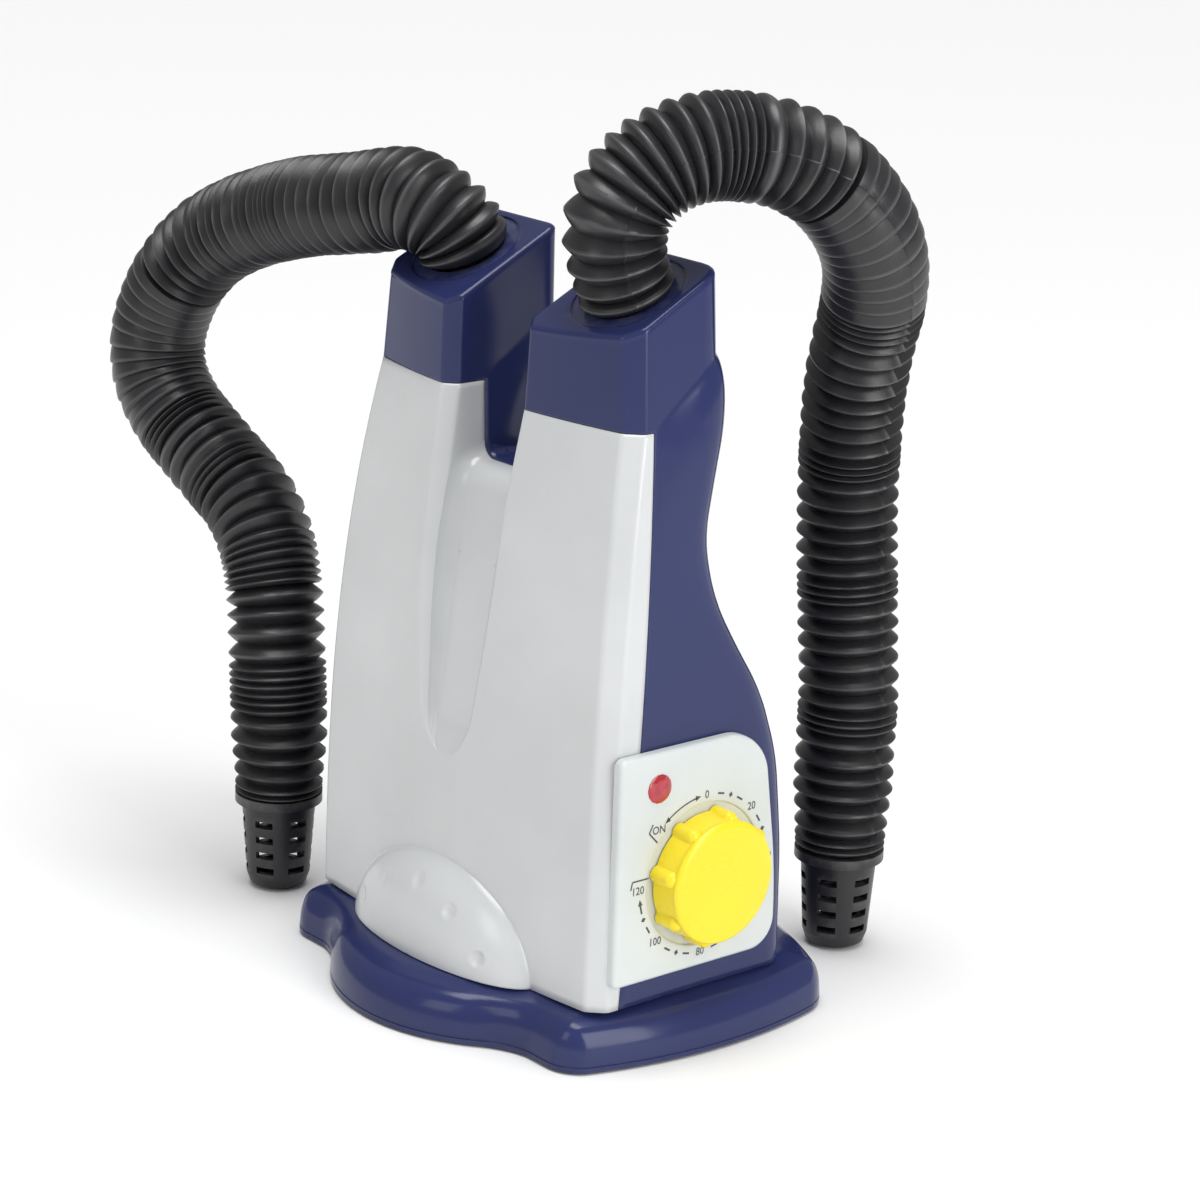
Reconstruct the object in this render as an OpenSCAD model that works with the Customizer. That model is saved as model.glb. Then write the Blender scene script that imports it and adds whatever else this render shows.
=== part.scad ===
// Twin-hose boot dryer: two-tone casing with two outlet towers, timer knob,
// motor, fan and heater inside, and two stay-put bellows hoses.
// Frame: +Z up, the white front faces -Y, the timer panel faces +X.
// The origin is on the floor, under the middle of the casing.

/* [Casing] */
// Width of the plinth from side to side
base_w = 206; // [200:1:212]
// Radius of the round lobe at the front of the plinth
lobe_r = 72; // [68:1:76]
// Height of the deck on which the shells stand
deck_z = 22; // [20:0.5:24]
// Half width of the casing just above the plinth
body_hw = 89.5; // [86:0.5:91]
// Half width of the casing at the colour seam
seam_hw = 79; // [77:0.5:81]
// Height of the seam between the front shell and the tower caps
seam_z = 242; // [236:1:248]
// Height of the top rear edge of the towers
top_z = 300; // [296:1:304]
// Forward slope of the tower tops, as rise over run
top_slope = 0.51; // [0.45:0.01:0.55]
// Wall thickness of the plastic shells
wall = 2.6; // [2:0.1:3]

/* [Towers] */
// Half width of the valley between the towers
valley_hw = 20.5; // [18:0.5:22]
// Height of the valley floor
valley_z = 212; // [208:1:216]
// Distance of each hose from the middle plane
hose_x = 49; // [47:0.5:50]
// Distance of the hose centres behind the origin
hose_y = -12; // [-14:0.5:-10]
// Outer radius of a hose collar
collar_r = 21.4; // [20.5:0.1:22]
// Bore radius of a hose collar
collar_bore_r = 16; // [14:0.5:17]

/* [Control panel] */
// Height of the dial centre
dial_z = 70; // [66:1:74]
// Distance of the dial centre behind the origin
dial_y = -1; // [-4:1:2]
// How far the panel face lies from the middle plane
panel_x = 92.8; // [92:0.1:94]
// Radius of the knob at its skirt
knob_r = 27; // [24:0.5:28]
// Height of the knob over the panel
knob_h = 13; // [11:0.5:13.5]
// Diameter of the lamp lens
lamp_d = 11.5; // [10:0.5:13]

/* [Fan and heater] */
// Distance of the fan axis to the left of the middle plane
fan_x = -10; // [-12:1:-8]
// Distance of the fan axis behind the origin
fan_y = -3; // [-5:1:-1]
// Radius of the impeller
fan_r = 35; // [30:1:36]
// Number of fan blades
blades = 7; // [5:1:9]
// Radius of the motor shaft
motor_shaft_r = 1.5; // [1.5:0.25:2]
// Running clearance in the bearings
run_fit = 0.04; // [0.02:0.01:0.08]

/* [Hoses] */
// Radius over the bellows crests
hose_r = 18.5; // [17:0.5:19]
// Mean wall thickness of the bellows
hose_wall = 2; // [1:0.5:3]

/* [Hidden] */

eps = 0.01;
white = "gainsboro";
blue = "midnightblue";
black = "dimgray";
steel = "silver";

body_h = seam_z - deck_z;
rim_z = 0.8;
foot_h = 3;
// Half depth of the plinth, the same to the front and to the rear
base_hd = 90.5;
// Screws: radius of the thread and its pilot hole, and of a clearance hole
thread_r = 1.4;
clear_r = 1.7;
lamp_at = [-25, 109];
top_y = 12.3;
tilt = atan(top_slope);
hose_exit_z = top_z + top_slope * (hose_y - top_y);

// ---------- casing outline as functions of height ----------

// How far up the shells, 0 at the deck and 1 at the colour seam
function rise(z) = min(1, max(0, (z - deck_z) / body_h));
function half_width(z) =
    z <= seam_z ? body_hw - (body_hw - seam_hw) * pow(rise(z), 2.6) : seam_hw - 0.085 * (z - seam_z);
// Front face where it meets the corner facets
function front_y(z) = z <= seam_z ? -50 + 17 * pow(rise(z), 2.6) : -33 + 0.02 * (z - seam_z);
// How much further forward the front face is at its middle
function front_bow(z) = 5.2 + 3.2 * rise(z);
// Rear face, by height: belly, waist, then tower
rear_knots = [[22, 48], [70, 47], [108, 43], [135, 34], [155, 21], [175, 10], [198, 5.5],
    [222, 9], [242, 13], [320, 12.3]];
function rear_at(z, i) =
    z <= rear_knots[i + 1][0] || i == len(rear_knots) - 2
    ? let (a = rear_knots[i], b = rear_knots[i + 1])
        a[1] + (b[1] - a[1]) * (z - a[0]) / (b[0] - a[0])
    : rear_at(z, i + 1);
function rear_y(z) = (rear_at(z - 6, 0) + rear_at(z, 0) + rear_at(z + 6, 0)) / 3;
// Plane between the front and the rear shell
function seam_y(z) = -39.7 + 0.07 * z;

facet_w = 6;
front_steps = 3;
rear_corner_r = 11;
levels = [22, 60, 95, 120, 140, 155, 168, 182, 198, 214, 230, 242, 262, 310];

// Right half of one horizontal section, from the front middle to the rear middle
function half_ring(z, inset) =
    let (
        hw = half_width(z) - inset,
        fy = front_y(z) + inset,
        ry = rear_y(z) - inset,
        bow = front_bow(z),
        fx = hw - facet_w,
        cr = rear_corner_r - inset
    )
    concat(
        [for (i = [0 : front_steps]) let (x = fx * i / front_steps)
            [x, fy - bow * (1 - pow(x / fx, 2))]],
        [[hw, fy + facet_w + 0.5]],
        [for (a = [0 : 22.5 : 90]) [hw - cr + cr * cos(a), ry - cr + cr * sin(a)]],
        [[0, ry]]
    );
// Closed ring: right half, then the left half mirrored without the middle points
function full_ring(z, inset) =
    let (h = half_ring(z, inset), n = len(h))
    concat(h, [for (i = [n - 2 : -1 : 1]) [-h[i][0], h[i][1]]]);

module loft(rings, heights) {
    n = len(rings[0]);
    m = len(rings);
    pts = [for (k = [0 : m - 1], p = rings[k]) [p[0], p[1], heights[k]]];
    sides = [for (k = [0 : m - 2], i = [0 : n - 1]) let (j = (i + 1) % n)
        each [[k * n + j, k * n + i, (k + 1) * n + i], [k * n + j, (k + 1) * n + i, (k + 1) * n + j]]];
    bottom = [[for (i = [0 : n - 1]) i]];
    top = [[for (i = [n - 1 : -1 : 0]) (m - 1) * n + i]];
    polyhedron(pts, concat(bottom, sides, top), convexity = 6);
}

module body_loft(inset, z0) {
    zs = [for (z = levels) z == deck_z ? z0 : z];
    loft([for (z = zs) full_ring(z, inset)], zs);
}

// Everything above the tilted tower tops, lowered by inset
module above_tops(inset) {
    translate([0, top_y, top_z - inset])
        rotate([tilt, 0, 0])
            translate([-120, -150, 0])
                cube([240, 300, 80]);
}

// Valley between the towers, and the sloping channel below it in the front
module valley(inset) {
    w = valley_hw + inset;
    translate([0, 80, 0])
        rotate([90, 0, 0])
            linear_extrude(160)
                polygon([[-w, 330], [-w, valley_z + 4 - inset], [-w + 4, valley_z - inset],
                    [w - 4, valley_z - inset], [w, valley_z + 4 - inset], [w, 330]]);
    intersection() {
        rotate([90, 0, 0])
            linear_extrude(160)
                polygon(concat(
                    [for (i = [-10 : 10]) let (t = i / 10)
                        [t * w, 100 - inset + 106 * (1 - sqrt(max(0, 1 - pow(t, 2))))]],
                    [[w, 330], [-w, 330]]));
        rotate([90, 0, 90])
            linear_extrude(120, center = true)
                polygon([[-80, 60], [-58 + inset, 94 - inset], [-37 + inset, valley_z - 8],
                    [-30 + inset, valley_z - inset], [-30 + inset, 240], [-80, 240]]);
    }
}

// Egg-shaped dome at the foot of the front
dome_y = -51;
dome_size = [55, 19.5, 39.5];
module dome(inset) {
    translate([0, dome_y, deck_z])
        scale((dome_size - [inset, inset, inset]) / 60)
            sphere(60, $fn = 48);
}

module body_outer() {
    difference() {
        union() {
            body_loft(0, deck_z);
            intersection() {
                dome(0);
                translate([-70, -90, deck_z])
                    cube([140, 70, 60]);
            }
        }
        above_tops(0);
        valley(0);
    }
}

module body_cavity() {
    difference() {
        union() {
            body_loft(wall, deck_z - 5);
            intersection() {
                dome(wall);
                translate([-70, -90, deck_z - 5])
                    cube([140, 70, 60]);
            }
        }
        above_tops(wall);
        valley(wall);
    }
}

// Region in front of the seam plane and below the colour seam, grown by gap
module front_region(gap) {
    rotate([90, 0, 90])
        linear_extrude(240, center = true)
            polygon([[-120, 0], [seam_y(0) + gap, 0], [seam_y(seam_z) + gap, seam_z + gap],
                [-120, seam_z + gap]]);
}

// ---------- plinth ----------

side_bulge_r = 190;
ear_y = -63;
module plinth_outline() {
    hw = base_w / 2;
    offset(r = -9, $fn = 24)
        offset(r = 9, $fn = 24)
            offset(r = 10, $fn = 24)
                offset(delta = -10)
                    union() {
                        intersection() {
                            translate([hw - side_bulge_r, 10])
                                circle(side_bulge_r, $fn = 72);
                            translate([side_bulge_r - hw, 10])
                                circle(side_bulge_r, $fn = 72);
                            translate([0, base_hd - side_bulge_r])
                                circle(side_bulge_r, $fn = 72);
                            translate([-hw, ear_y])
                                square([base_w, 160]);
                        }
                        translate([0, lobe_r - base_hd])
                            circle(lobe_r, $fn = 48);
                    }
}

// Height and inset of each step of the rounded shoulder
shoulder = [[rim_z, 0], [7, 0], [12, 2], [16, 5], [19, 9], [20.4, 12.5]];
shoulder_top = 20.4;
module plinth_layer(z0, z1, inset) {
    translate([0, 0, z0])
        linear_extrude(z1 - z0)
            offset(delta = -inset)
                plinth_outline();
}

module plinth_solid() {
    difference() {
        union() {
            for (k = [1 : len(shoulder) - 1])
                plinth_layer(shoulder[k - 1][0], min(shoulder[k][0] + eps, shoulder_top), shoulder[k][1]);
        }
        plinth_layer(0, 12, 2 + wall);
        plinth_layer(12 - eps, 17, 9 + wall);
    }
}

foot_places = [[-72, -44], [72, -44], [-72, 60], [72, 60]];
// The plate's screws stand 14 mm nearer the middle than the feet
plate_screw_places = [for (p = foot_places) [p[0], p[1] - 14 * sign(p[1])]];
shell_screw_places = [[-66, -34], [66, -34], [-60, 30], [60, 30]];
shell_screw_z = 19;
pillar_places = [[-31, 0], [11, 0]];

module base_cover() {
    color(blue)
        difference() {
            union() {
                plinth_solid();
                // deck under the shells
                plinth_layer(19, deck_z, 13);
                // screw posts for the base plate
                for (p = plate_screw_places)
                    translate([p[0], p[1], 6])
                        cylinder(r = 4.5, h = 14, $fn = 24);
                // pillars that carry the motor
                for (p = pillar_places)
                    translate([p[0], fan_y + p[1], deck_z - eps])
                        cylinder(r = 4, h = 8, $fn = 24);
            }
            for (p = plate_screw_places)
                translate([p[0], p[1], 5])
                    cylinder(r = thread_r, h = 12, $fn = 20);
            for (p = shell_screw_places) {
                translate([p[0], p[1], 15])
                    cylinder(r = clear_r, h = 12, $fn = 20);
                // counterbore for the head
                translate([p[0], p[1], 10])
                    cylinder(r = 3.6, h = shell_screw_z - 10, $fn = 24);
            }
            for (p = pillar_places)
                translate([p[0], fan_y + p[1], deck_z - 5])
                    cylinder(r = thread_r, h = 20, $fn = 20);
        }
}

plate_t = 2.8;
module base_plate() {
    color(black)
        difference() {
            translate([0, 0, foot_h])
                linear_extrude(plate_t)
                    offset(delta = -wall - 2.4)
                        plinth_outline();
            for (p = foot_places)
                translate([p[0], p[1], 0])
                    cylinder(r = 3, h = 20, $fn = 24);
            for (p = plate_screw_places)
                translate([p[0], p[1], 0])
                    cylinder(r = clear_r, h = 20, $fn = 24);
            // holes through which the shells' screws are reached
            for (p = shell_screw_places)
                translate([p[0], p[1], 0])
                    cylinder(r = 4.5, h = 20, $fn = 24);
        }
}

module rubber_feet() {
    color("black")
        for (p = foot_places)
            translate([p[0], p[1], 0]) {
                cylinder(r1 = 7.4, r2 = 8, h = foot_h, $fn = 40);
                translate([0, 0, foot_h - eps])
                    cylinder(r = 2.96, h = plate_t, $fn = 24);
                translate([0, 0, foot_h + plate_t - eps])
                    cylinder(r1 = 4, r2 = 2.4, h = 2, $fn = 24);
            }
}

module pan_screw(len, r, head_r) {
    cylinder(r = r, h = len, $fn = 20);
    translate([0, 0, -2])
        difference() {
            cylinder(r1 = head_r * 0.8, r2 = head_r, h = 2, $fn = 24);
            translate([-head_r * 0.6, -0.4, -1])
                cube([head_r * 1.2, 0.8, 1.8]);
            translate([-0.4, -head_r * 0.6, -1])
                cube([0.8, head_r * 1.2, 1.8]);
        }
}

module base_screws() {
    color(steel)
        for (p = plate_screw_places)
            translate([p[0], p[1], foot_h])
                pan_screw(12, thread_r, 3);
}

// ---------- shells ----------

post_r = 4;
post_h = 18;
web_t = 2;
// Screw post under a shell, with a web that ties it to the wall
module shell_post(place, web) {
    translate([place[0], place[1], deck_z])
        difference() {
            union() {
                cylinder(r = post_r, h = post_h, $fn = 24);
                rotate([0, 0, atan2(web[1], web[0])])
                    translate([0, -web_t / 2, 0])
                        cube([norm(web), web_t, post_h]);
            }
            translate([0, 0, -1])
                cylinder(r = thread_r, h = post_h - 4, $fn = 20);
        }
}

module front_shell() {
    color(white) {
        difference() {
            intersection() {
                body_outer();
                front_region(-0.1);
            }
            body_cavity();
            panel_window();
        }
        // the webs run forward to the front wall
        for (i = [0, 1])
            shell_post(shell_screw_places[i], [0, -16.5]);
    }
}

collar_seat_d = 5;
module at_outlet(side) {
    translate([side * hose_x, hose_y, hose_exit_z])
        rotate([tilt, 0, 0])
            children();
}

grille_w = 76;
grille_z0 = 40;
grille_h = 56;
gland_at = [-58, 46, 34];
panel_screw_places = [[-38, 38], [-38, 90], [28, 100], [30, 44]];
module panel_window() {
    translate([70, dial_y - 24, dial_z - 26])
        cube([40, 48, 52]);
    for (p = panel_screw_places)
        translate([80, p[0], p[1]])
            rotate([0, 90, 0])
                cylinder(r = thread_r, h = 12, $fn = 20);
    translate([70, lamp_at[0], lamp_at[1]])
        rotate([0, 90, 0])
            cylinder(r = lamp_d / 2 + 0.6, h = 40, $fn = 32);
}

module rear_shell() {
    color(blue) {
        difference() {
            union() {
                difference() {
                    body_outer();
                    body_cavity();
                    front_region(0.1);
                }
                // seats of the hose collars, inside the tower tops
                intersection() {
                    body_loft(1, deck_z);
                    for (s = [-1, 1])
                        at_outlet(s)
                            translate([0, 0, -collar_seat_d - wall])
                                cylinder(r = collar_r + 1.4, h = wall + 4, $fn = 64);
                }
            }
            for (s = [-1, 1])
                at_outlet(s) {
                    translate([0, 0, -collar_seat_d])
                        cylinder(r = collar_r + 0.1, h = 30, $fn = 64);
                    translate([0, 0, -collar_seat_d - wall - 1])
                        cylinder(r = collar_r - 2.4, h = 30, $fn = 64);
                }
            panel_window();
            translate([-grille_w / 2 + 3, 30, grille_z0 + 3])
                cube([grille_w - 6, 30, grille_h - 6]);
            translate(gland_at + [0, 6, 0])
                rotate([90, 0, 0])
                    cylinder(r = 7, h = 20, $fn = 32);
        }
        // the webs run sideways to the side walls
        for (i = [2, 3])
            shell_post(shell_screw_places[i], [sign(shell_screw_places[i][0]) * 28.3, 0]);
    }
}

module shell_screws() {
    color(steel)
        for (p = shell_screw_places)
            translate([p[0], p[1], shell_screw_z])
                pan_screw(15, thread_r, 3.4);
}

// Slotted air intake, clipped into the rear shell
module intake_grille() {
    y = rear_y(deck_z + 40);
    color(blue)
        difference() {
            union() {
                translate([-grille_w / 2, y + 0.4, grille_z0])
                    cube([grille_w, 2, grille_h]);
                translate([-grille_w / 2 + 3.1, y - 4, grille_z0 + 3.1])
                    cube([grille_w - 6.2, 4.5, grille_h - 6.2]);
            }
            for (i = [0 : 7], s = [-1, 1])
                translate([s * 17 - 15, y - 10, grille_z0 + 6.6 + i * 5.6])
                    cube([30, 20, 3]);
        }
}

// Bushing through which the mains lead enters
module cord_gland() {
    color(black)
        translate(gland_at)
            rotate([90, 0, 0])
                difference() {
                    union() {
                        translate([0, 0, -4])
                            cylinder(r = 6.9, h = 10, $fn = 32);
                        translate([0, 0, -5.5])
                            cylinder(r = 9, h = 2.2, $fn = 32);
                    }
                    translate([0, 0, -10])
                        cylinder(r = 3.6, h = 20, $fn = 32);
                }
}

module collar(side) {
    color(blue)
        at_outlet(side)
            translate([0, 0, -collar_seat_d])
                difference() {
                    cylinder(r = collar_r, h = collar_seat_d - 0.8, $fn = 64);
                    translate([0, 0, -1])
                        cylinder(r = collar_bore_r, h = 20, $fn = 64);
                }
}

module collar_left() {
    collar(-1);
}

module collar_right() {
    collar(1);
}

// ---------- control panel, lamp and timer ----------

panel_t = 3.2;
panel_low = 32;
panel_high = 123;
panel_front = -44;
panel_rear = 37.6;
module panel_outline() {
    // rounded more at the two rear corners than at the front
    hull() {
        translate([panel_front + 3, panel_low + 3])
            circle(3, $fn = 24);
        translate([panel_front + 5, panel_high - 3])
            circle(3, $fn = 24);
        translate([panel_rear - 12, panel_low + 12])
            circle(12, $fn = 48);
        translate([panel_rear - 24, panel_high - 18])
            circle(18, $fn = 48);
        translate([panel_rear - 14, panel_high - 32])
            circle(14, $fn = 48);
    }
}

bush_r = 4.2;
timer_screw_z = 18;
module control_panel() {
    color(white)
        difference() {
            union() {
                translate([panel_x - panel_t, 0, 0])
                    rotate([90, 0, 90])
                        linear_extrude(panel_t)
                            panel_outline();
                // shallow tray that reaches into the casing window
                translate([panel_x - 9, dial_y - 23.6, dial_z - 25.6])
                    cube([7, 47.2, 51.2]);
            }
            // recess round the knob
            translate([panel_x - 0.8, dial_y, dial_z])
                rotate([0, 90, 0])
                    cylinder(r = knob_r + 1.6, h = 5, $fn = 72);
            translate([panel_x - 20, dial_y, dial_z])
                rotate([0, 90, 0])
                    cylinder(r = bush_r + 0.1, h = 40, $fn = 32);
            translate([panel_x - 20, lamp_at[0], lamp_at[1]])
                rotate([0, 90, 0])
                    cylinder(r = lamp_d / 2, h = 40, $fn = 32);
            for (s = [-1, 1])
                translate([panel_x - 20, dial_y, dial_z + s * timer_screw_z])
                    rotate([0, 90, 0])
                        cylinder(r = thread_r, h = 17, $fn = 20);
            for (p = panel_screw_places)
                translate([panel_x - 8, p[0], p[1]])
                    rotate([0, 90, 0])
                        cylinder(r = 1.2, h = 6.6, $fn = 20);
        }
}

module panel_screws() {
    color(steel)
        for (p = panel_screw_places)
            translate([86, p[0], p[1]])
                rotate([0, 90, 0])
                    pan_screw(5.2, 1.2, 2.6);
}

module lamp_lens() {
    color("firebrick")
        translate([0, lamp_at[0], lamp_at[1]])
            rotate([0, 90, 0]) {
                translate([0, 0, panel_x - 8])
                    cylinder(r = lamp_d / 2 - 0.02, h = 8, $fn = 32);
                translate([0, 0, panel_x - eps])
                    cylinder(r1 = lamp_d / 2 - 0.02, r2 = lamp_d / 2 - 1.5, h = 1, $fn = 32);
            }
}

module neon_lamp() {
    color("orange")
        translate([panel_x - 26, lamp_at[0], lamp_at[1]])
            rotate([0, 90, 0]) {
                cylinder(r = 4.6, h = 17.9, $fn = 32);
                for (s = [-1, 1])
                    translate([0, s * 2, -6])
                        cylinder(r = 0.8, h = 6.1, $fn = 16);
            }
}

timer_face_x = panel_x - 9;
module timer_body() {
    color("ivory")
        difference() {
            union() {
                translate([timer_face_x - 26, dial_y - 20, dial_z - 22])
                    cube([26, 40, 44]);
                // threaded bush of the spindle
                translate([timer_face_x - 1, dial_y, dial_z])
                    rotate([0, 90, 0])
                        cylinder(r = bush_r, h = 8.6, $fn = 32);
                // terminals
                for (s = [-1, 1])
                    translate([timer_face_x - 32, dial_y + s * 10 - 3, dial_z - 4])
                        cube([6.1, 6, 0.8]);
            }
            translate([timer_face_x - 12, dial_y, dial_z])
                rotate([0, 90, 0])
                    cylinder(r = spindle_r + run_fit, h = 40, $fn = 32);
            for (s = [-1, 1])
                translate([timer_face_x - 8, dial_y, dial_z + s * timer_screw_z])
                    rotate([0, 90, 0])
                        cylinder(r = thread_r, h = 20, $fn = 20);
        }
}

module timer_screws() {
    color(steel)
        for (s = [-1, 1])
            translate([timer_face_x - 7, dial_y, dial_z + s * timer_screw_z])
                rotate([0, 90, 0])
                    cylinder(r = thread_r, h = 13, $fn = 20);
}

spindle_r = 3;
module timer_shaft() {
    color("gold")
        translate([timer_face_x - 11, dial_y, dial_z])
            rotate([0, 90, 0])
                difference() {
                    cylinder(r = spindle_r, h = 28, $fn = 32);
                    // flat that turns the knob
                    translate([1.6, -5, 20])
                        cube([5, 10, 10]);
                }
}

grip_ribs = 8;
module knob() {
    z0 = panel_x - 0.6;
    color("yellow")
        translate([0, dial_y, dial_z])
            rotate([0, 90, 0])
                translate([0, 0, z0])
                    difference() {
                        union() {
                            rotate_extrude($fn = 96)
                                polygon([[0, 0], [knob_r - 1.5, 0], [knob_r - 1.8, 4], [knob_r - 2, 9],
                                    [knob_r - 3.2, 11.4], [knob_r - 6, 12.8], [knob_r - 12, knob_h + 0.3],
                                    [0, knob_h + 0.6]]);
                            for (i = [0 : grip_ribs - 1])
                                rotate([0, 0, (i + 0.5) * 360 / grip_ribs])
                                    translate([knob_r - 3, 0, 0])
                                        cylinder(r = 3, h = 9.5, $fn = 24);
                        }
                        // hollow behind the face
                        translate([0, 0, -1])
                            difference() {
                                cylinder(r = knob_r - 5.5, h = 10.5, $fn = 64);
                                cylinder(r = 6.5, h = 11, $fn = 32);
                            }
                        // seat of the spindle with its flat
                        translate([0, 0, -1])
                            difference() {
                                cylinder(r = spindle_r, h = 9.6, $fn = 32);
                                translate([1.6, -5, 1.6])
                                    cube([5, 10, 10]);
                            }
                        translate([0, 0, -1])
                            cylinder(r = bush_r + 0.6, h = 2, $fn = 32);
                    }
}

// ---------- motor and fan ----------

stack_z = 36;
stack_h = 12;
rotor_r = 9.6;
module at_fan(z) {
    translate([fan_x, fan_y, z])
        children();
}

bolt_r = 1.5;
bolt_x = 21;
bracket_t = 1.6;
module stator() {
    color(steel)
        at_fan(stack_z)
            difference() {
                translate([-24, -18, 0])
                    cube([48, 40, stack_h]);
                translate([0, 0, -1])
                    cylinder(r = rotor_r + 0.4, h = stack_h + 2, $fn = 48);
                // window for the coil
                translate([-12, 11, -1])
                    cube([24, 5, stack_h + 2]);
                for (s = [-1, 1])
                    translate([s * bolt_x, 0, -1])
                        cylinder(r = bolt_r + 0.1, h = stack_h + 2, $fn = 20);
            }
}

module motor_coil() {
    color("orange")
        at_fan(stack_z)
            difference() {
                translate([-10, 11.4, -5])
                    cube([20, 16, stack_h + 10]);
                translate([-30, 15.95, -eps])
                    cube([60, 6.1, stack_h + 2 * eps]);
            }
}

boss_h = 4;
module motor_bracket(z) {
    at_fan(z)
        difference() {
            union() {
                translate([-26, -6, 0])
                    cube([52, 12, bracket_t]);
                cylinder(r = 6, h = boss_h, $fn = 32);
            }
            translate([0, 0, -10])
                cylinder(r = 4, h = 20, $fn = 32);
            for (s = [-1, 1])
                translate([s * bolt_x, 0, -1])
                    cylinder(r = bolt_r + 0.1, h = 4, $fn = 20);
        }
}

spacer_h = 3.4;
bracket_z = deck_z + 8;
upper_bracket_z = stack_z + stack_h + spacer_h;
module bracket_lower() {
    color(steel) {
        motor_bracket(bracket_z);
        for (s = [-1, 1])
            at_fan(bracket_z + bracket_t)
                translate([s * bolt_x, 0, -eps])
                    difference() {
                        cylinder(r = 2.6, h = stack_z - bracket_z - bracket_t, $fn = 24);
                        translate([0, 0, -1])
                            cylinder(r = bolt_r + 0.1, h = 10, $fn = 20);
                    }
    }
}

module bracket_upper() {
    color(steel) {
        motor_bracket(upper_bracket_z);
        for (s = [-1, 1])
            at_fan(stack_z + stack_h)
                translate([s * bolt_x, 0, 0])
                    difference() {
                        cylinder(r = 2.6, h = spacer_h + eps, $fn = 24);
                        translate([0, 0, -1])
                            cylinder(r = bolt_r + 0.1, h = 10, $fn = 20);
                    }
    }
}

module bearing(z) {
    color("goldenrod")
        at_fan(z)
            difference() {
                cylinder(r = 4, h = boss_h, $fn = 32);
                translate([0, 0, -1])
                    cylinder(r = motor_shaft_r + run_fit, h = boss_h + 2, $fn = 32);
            }
}

module bearing_lower() {
    bearing(bracket_z);
}

module bearing_upper() {
    bearing(upper_bracket_z);
}

module motor_screws() {
    color("gray")
        for (s = [-1, 1])
            at_fan(deck_z - 2)
                translate([s * bolt_x, 0, 0]) {
                    cylinder(r = bolt_r - 0.1, h = 34.6, $fn = 20);
                    translate([0, 0, upper_bracket_z + bracket_t - deck_z + 2])
                        cylinder(r = 3, h = 2, $fn = 6);
                }
}

module rotor() {
    color("gray")
        at_fan(stack_z)
            difference() {
                cylinder(r = rotor_r, h = stack_h, $fn = 48);
                translate([0, 0, -1])
                    cylinder(r = motor_shaft_r, h = stack_h + 2, $fn = 32);
            }
}

impeller_z = 58;
impeller_h = 16;
module motor_shaft() {
    color(steel)
        at_fan(deck_z + 6)
            cylinder(r = motor_shaft_r, h = impeller_z + impeller_h - deck_z - 8, $fn = 32);
}

module impeller() {
    color("dimgray")
        at_fan(impeller_z)
            difference() {
                union() {
                    cylinder(r = 11, h = impeller_h, $fn = 48);
                    for (i = [0 : blades - 1])
                        rotate([0, 0, i * 360 / blades])
                            intersection() {
                                translate([5, 0, impeller_h / 2])
                                    rotate([52, 0, 0])
                                        translate([0, -1, -12])
                                            cube([fan_r, 1.8, 24]);
                                difference() {
                                    cylinder(r = fan_r, h = impeller_h - 1, $fn = 64);
                                    translate([0, 0, -1])
                                        cylinder(r = 10.5, h = impeller_h + 2, $fn = 48);
                                }
                            }
                }
                translate([0, 0, -1])
                    cylinder(r = motor_shaft_r, h = impeller_h - 1, $fn = 32);
            }
}

shroud_r = 40;
shroud_z0 = 55;
shroud_z1 = 78;
module ring_part(z0, z1, r_out, r_in) {
    at_fan(z0)
        difference() {
            cylinder(r = r_out, h = z1 - z0, $fn = 72);
            translate([0, 0, -1])
                cylinder(r = r_in, h = z1 - z0 + 2, $fn = 72);
        }
}

module fan_shroud() {
    color("gray") {
        ring_part(shroud_z0, shroud_z1, shroud_r, fan_r + 2);
        // legs that stand on the deck
        for (a = [45, 135, 225, 315])
            at_fan(deck_z)
                rotate([0, 0, a])
                    translate([fan_r + 2.2, -4, 0])
                        cube([2.6, 8, shroud_z0 - deck_z + eps]);
    }
}

heater_z1 = 104;
// Turns of the winding, from the inmost and lowest outwards
turns = [for (k = [0 : 3]) [10 + 7 * k, 4 + 4 * k]];
module heater_tube() {
    color(steel)
        ring_part(shroud_z1, heater_z1, shroud_r, shroud_r - 1);
}

module heater_frame() {
    color("tan")
        at_fan(shroud_z1 + 3)
            difference() {
                for (a = [0, 90])
                    rotate([0, 0, a])
                        translate([-(shroud_r - 1), -0.6, 0])
                            cube([2 * (shroud_r - 1), 1.2, 20]);
                // notches in which the winding lies
                for (t = turns)
                    rotate_extrude($fn = 48)
                        translate(t)
                            circle(0.9, $fn = 16);
            }
}

module heater_coil() {
    color("orangered")
        at_fan(shroud_z1 + 3) {
            for (t = turns)
                rotate_extrude($fn = 48)
                    translate(t)
                        circle(0.8, $fn = 16);
            // risers that join the turns
            for (k = [0 : 2])
                rotate([0, 0, 20 + 50 * k])
                    translate([turns[k][0], 0, turns[k][1]])
                        rotate([0, 60.3, 0])
                            cylinder(r = 0.5, h = 8.06, $fn = 14);
        }
}

module thermostat() {
    color("silver")
        at_fan(shroud_z1 + 12)
            translate([0, -(shroud_r + 5.2), 0])
                rotate([-90, 0, 0]) {
                    cylinder(r = 6, h = 5.2, $fn = 32);
                    for (s = [-1, 1])
                        translate([s * 3 - 1, -0.4, -3])
                            cube([2, 0.8, 3.1]);
                }
}

module thermal_fuse() {
    color("white")
        at_fan(shroud_z1 + 12)
            translate([-(shroud_r + 2.4), 0, -7])
                cylinder(r = 2, h = 14, $fn = 24);
}

// ---------- air ducts ----------

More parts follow.
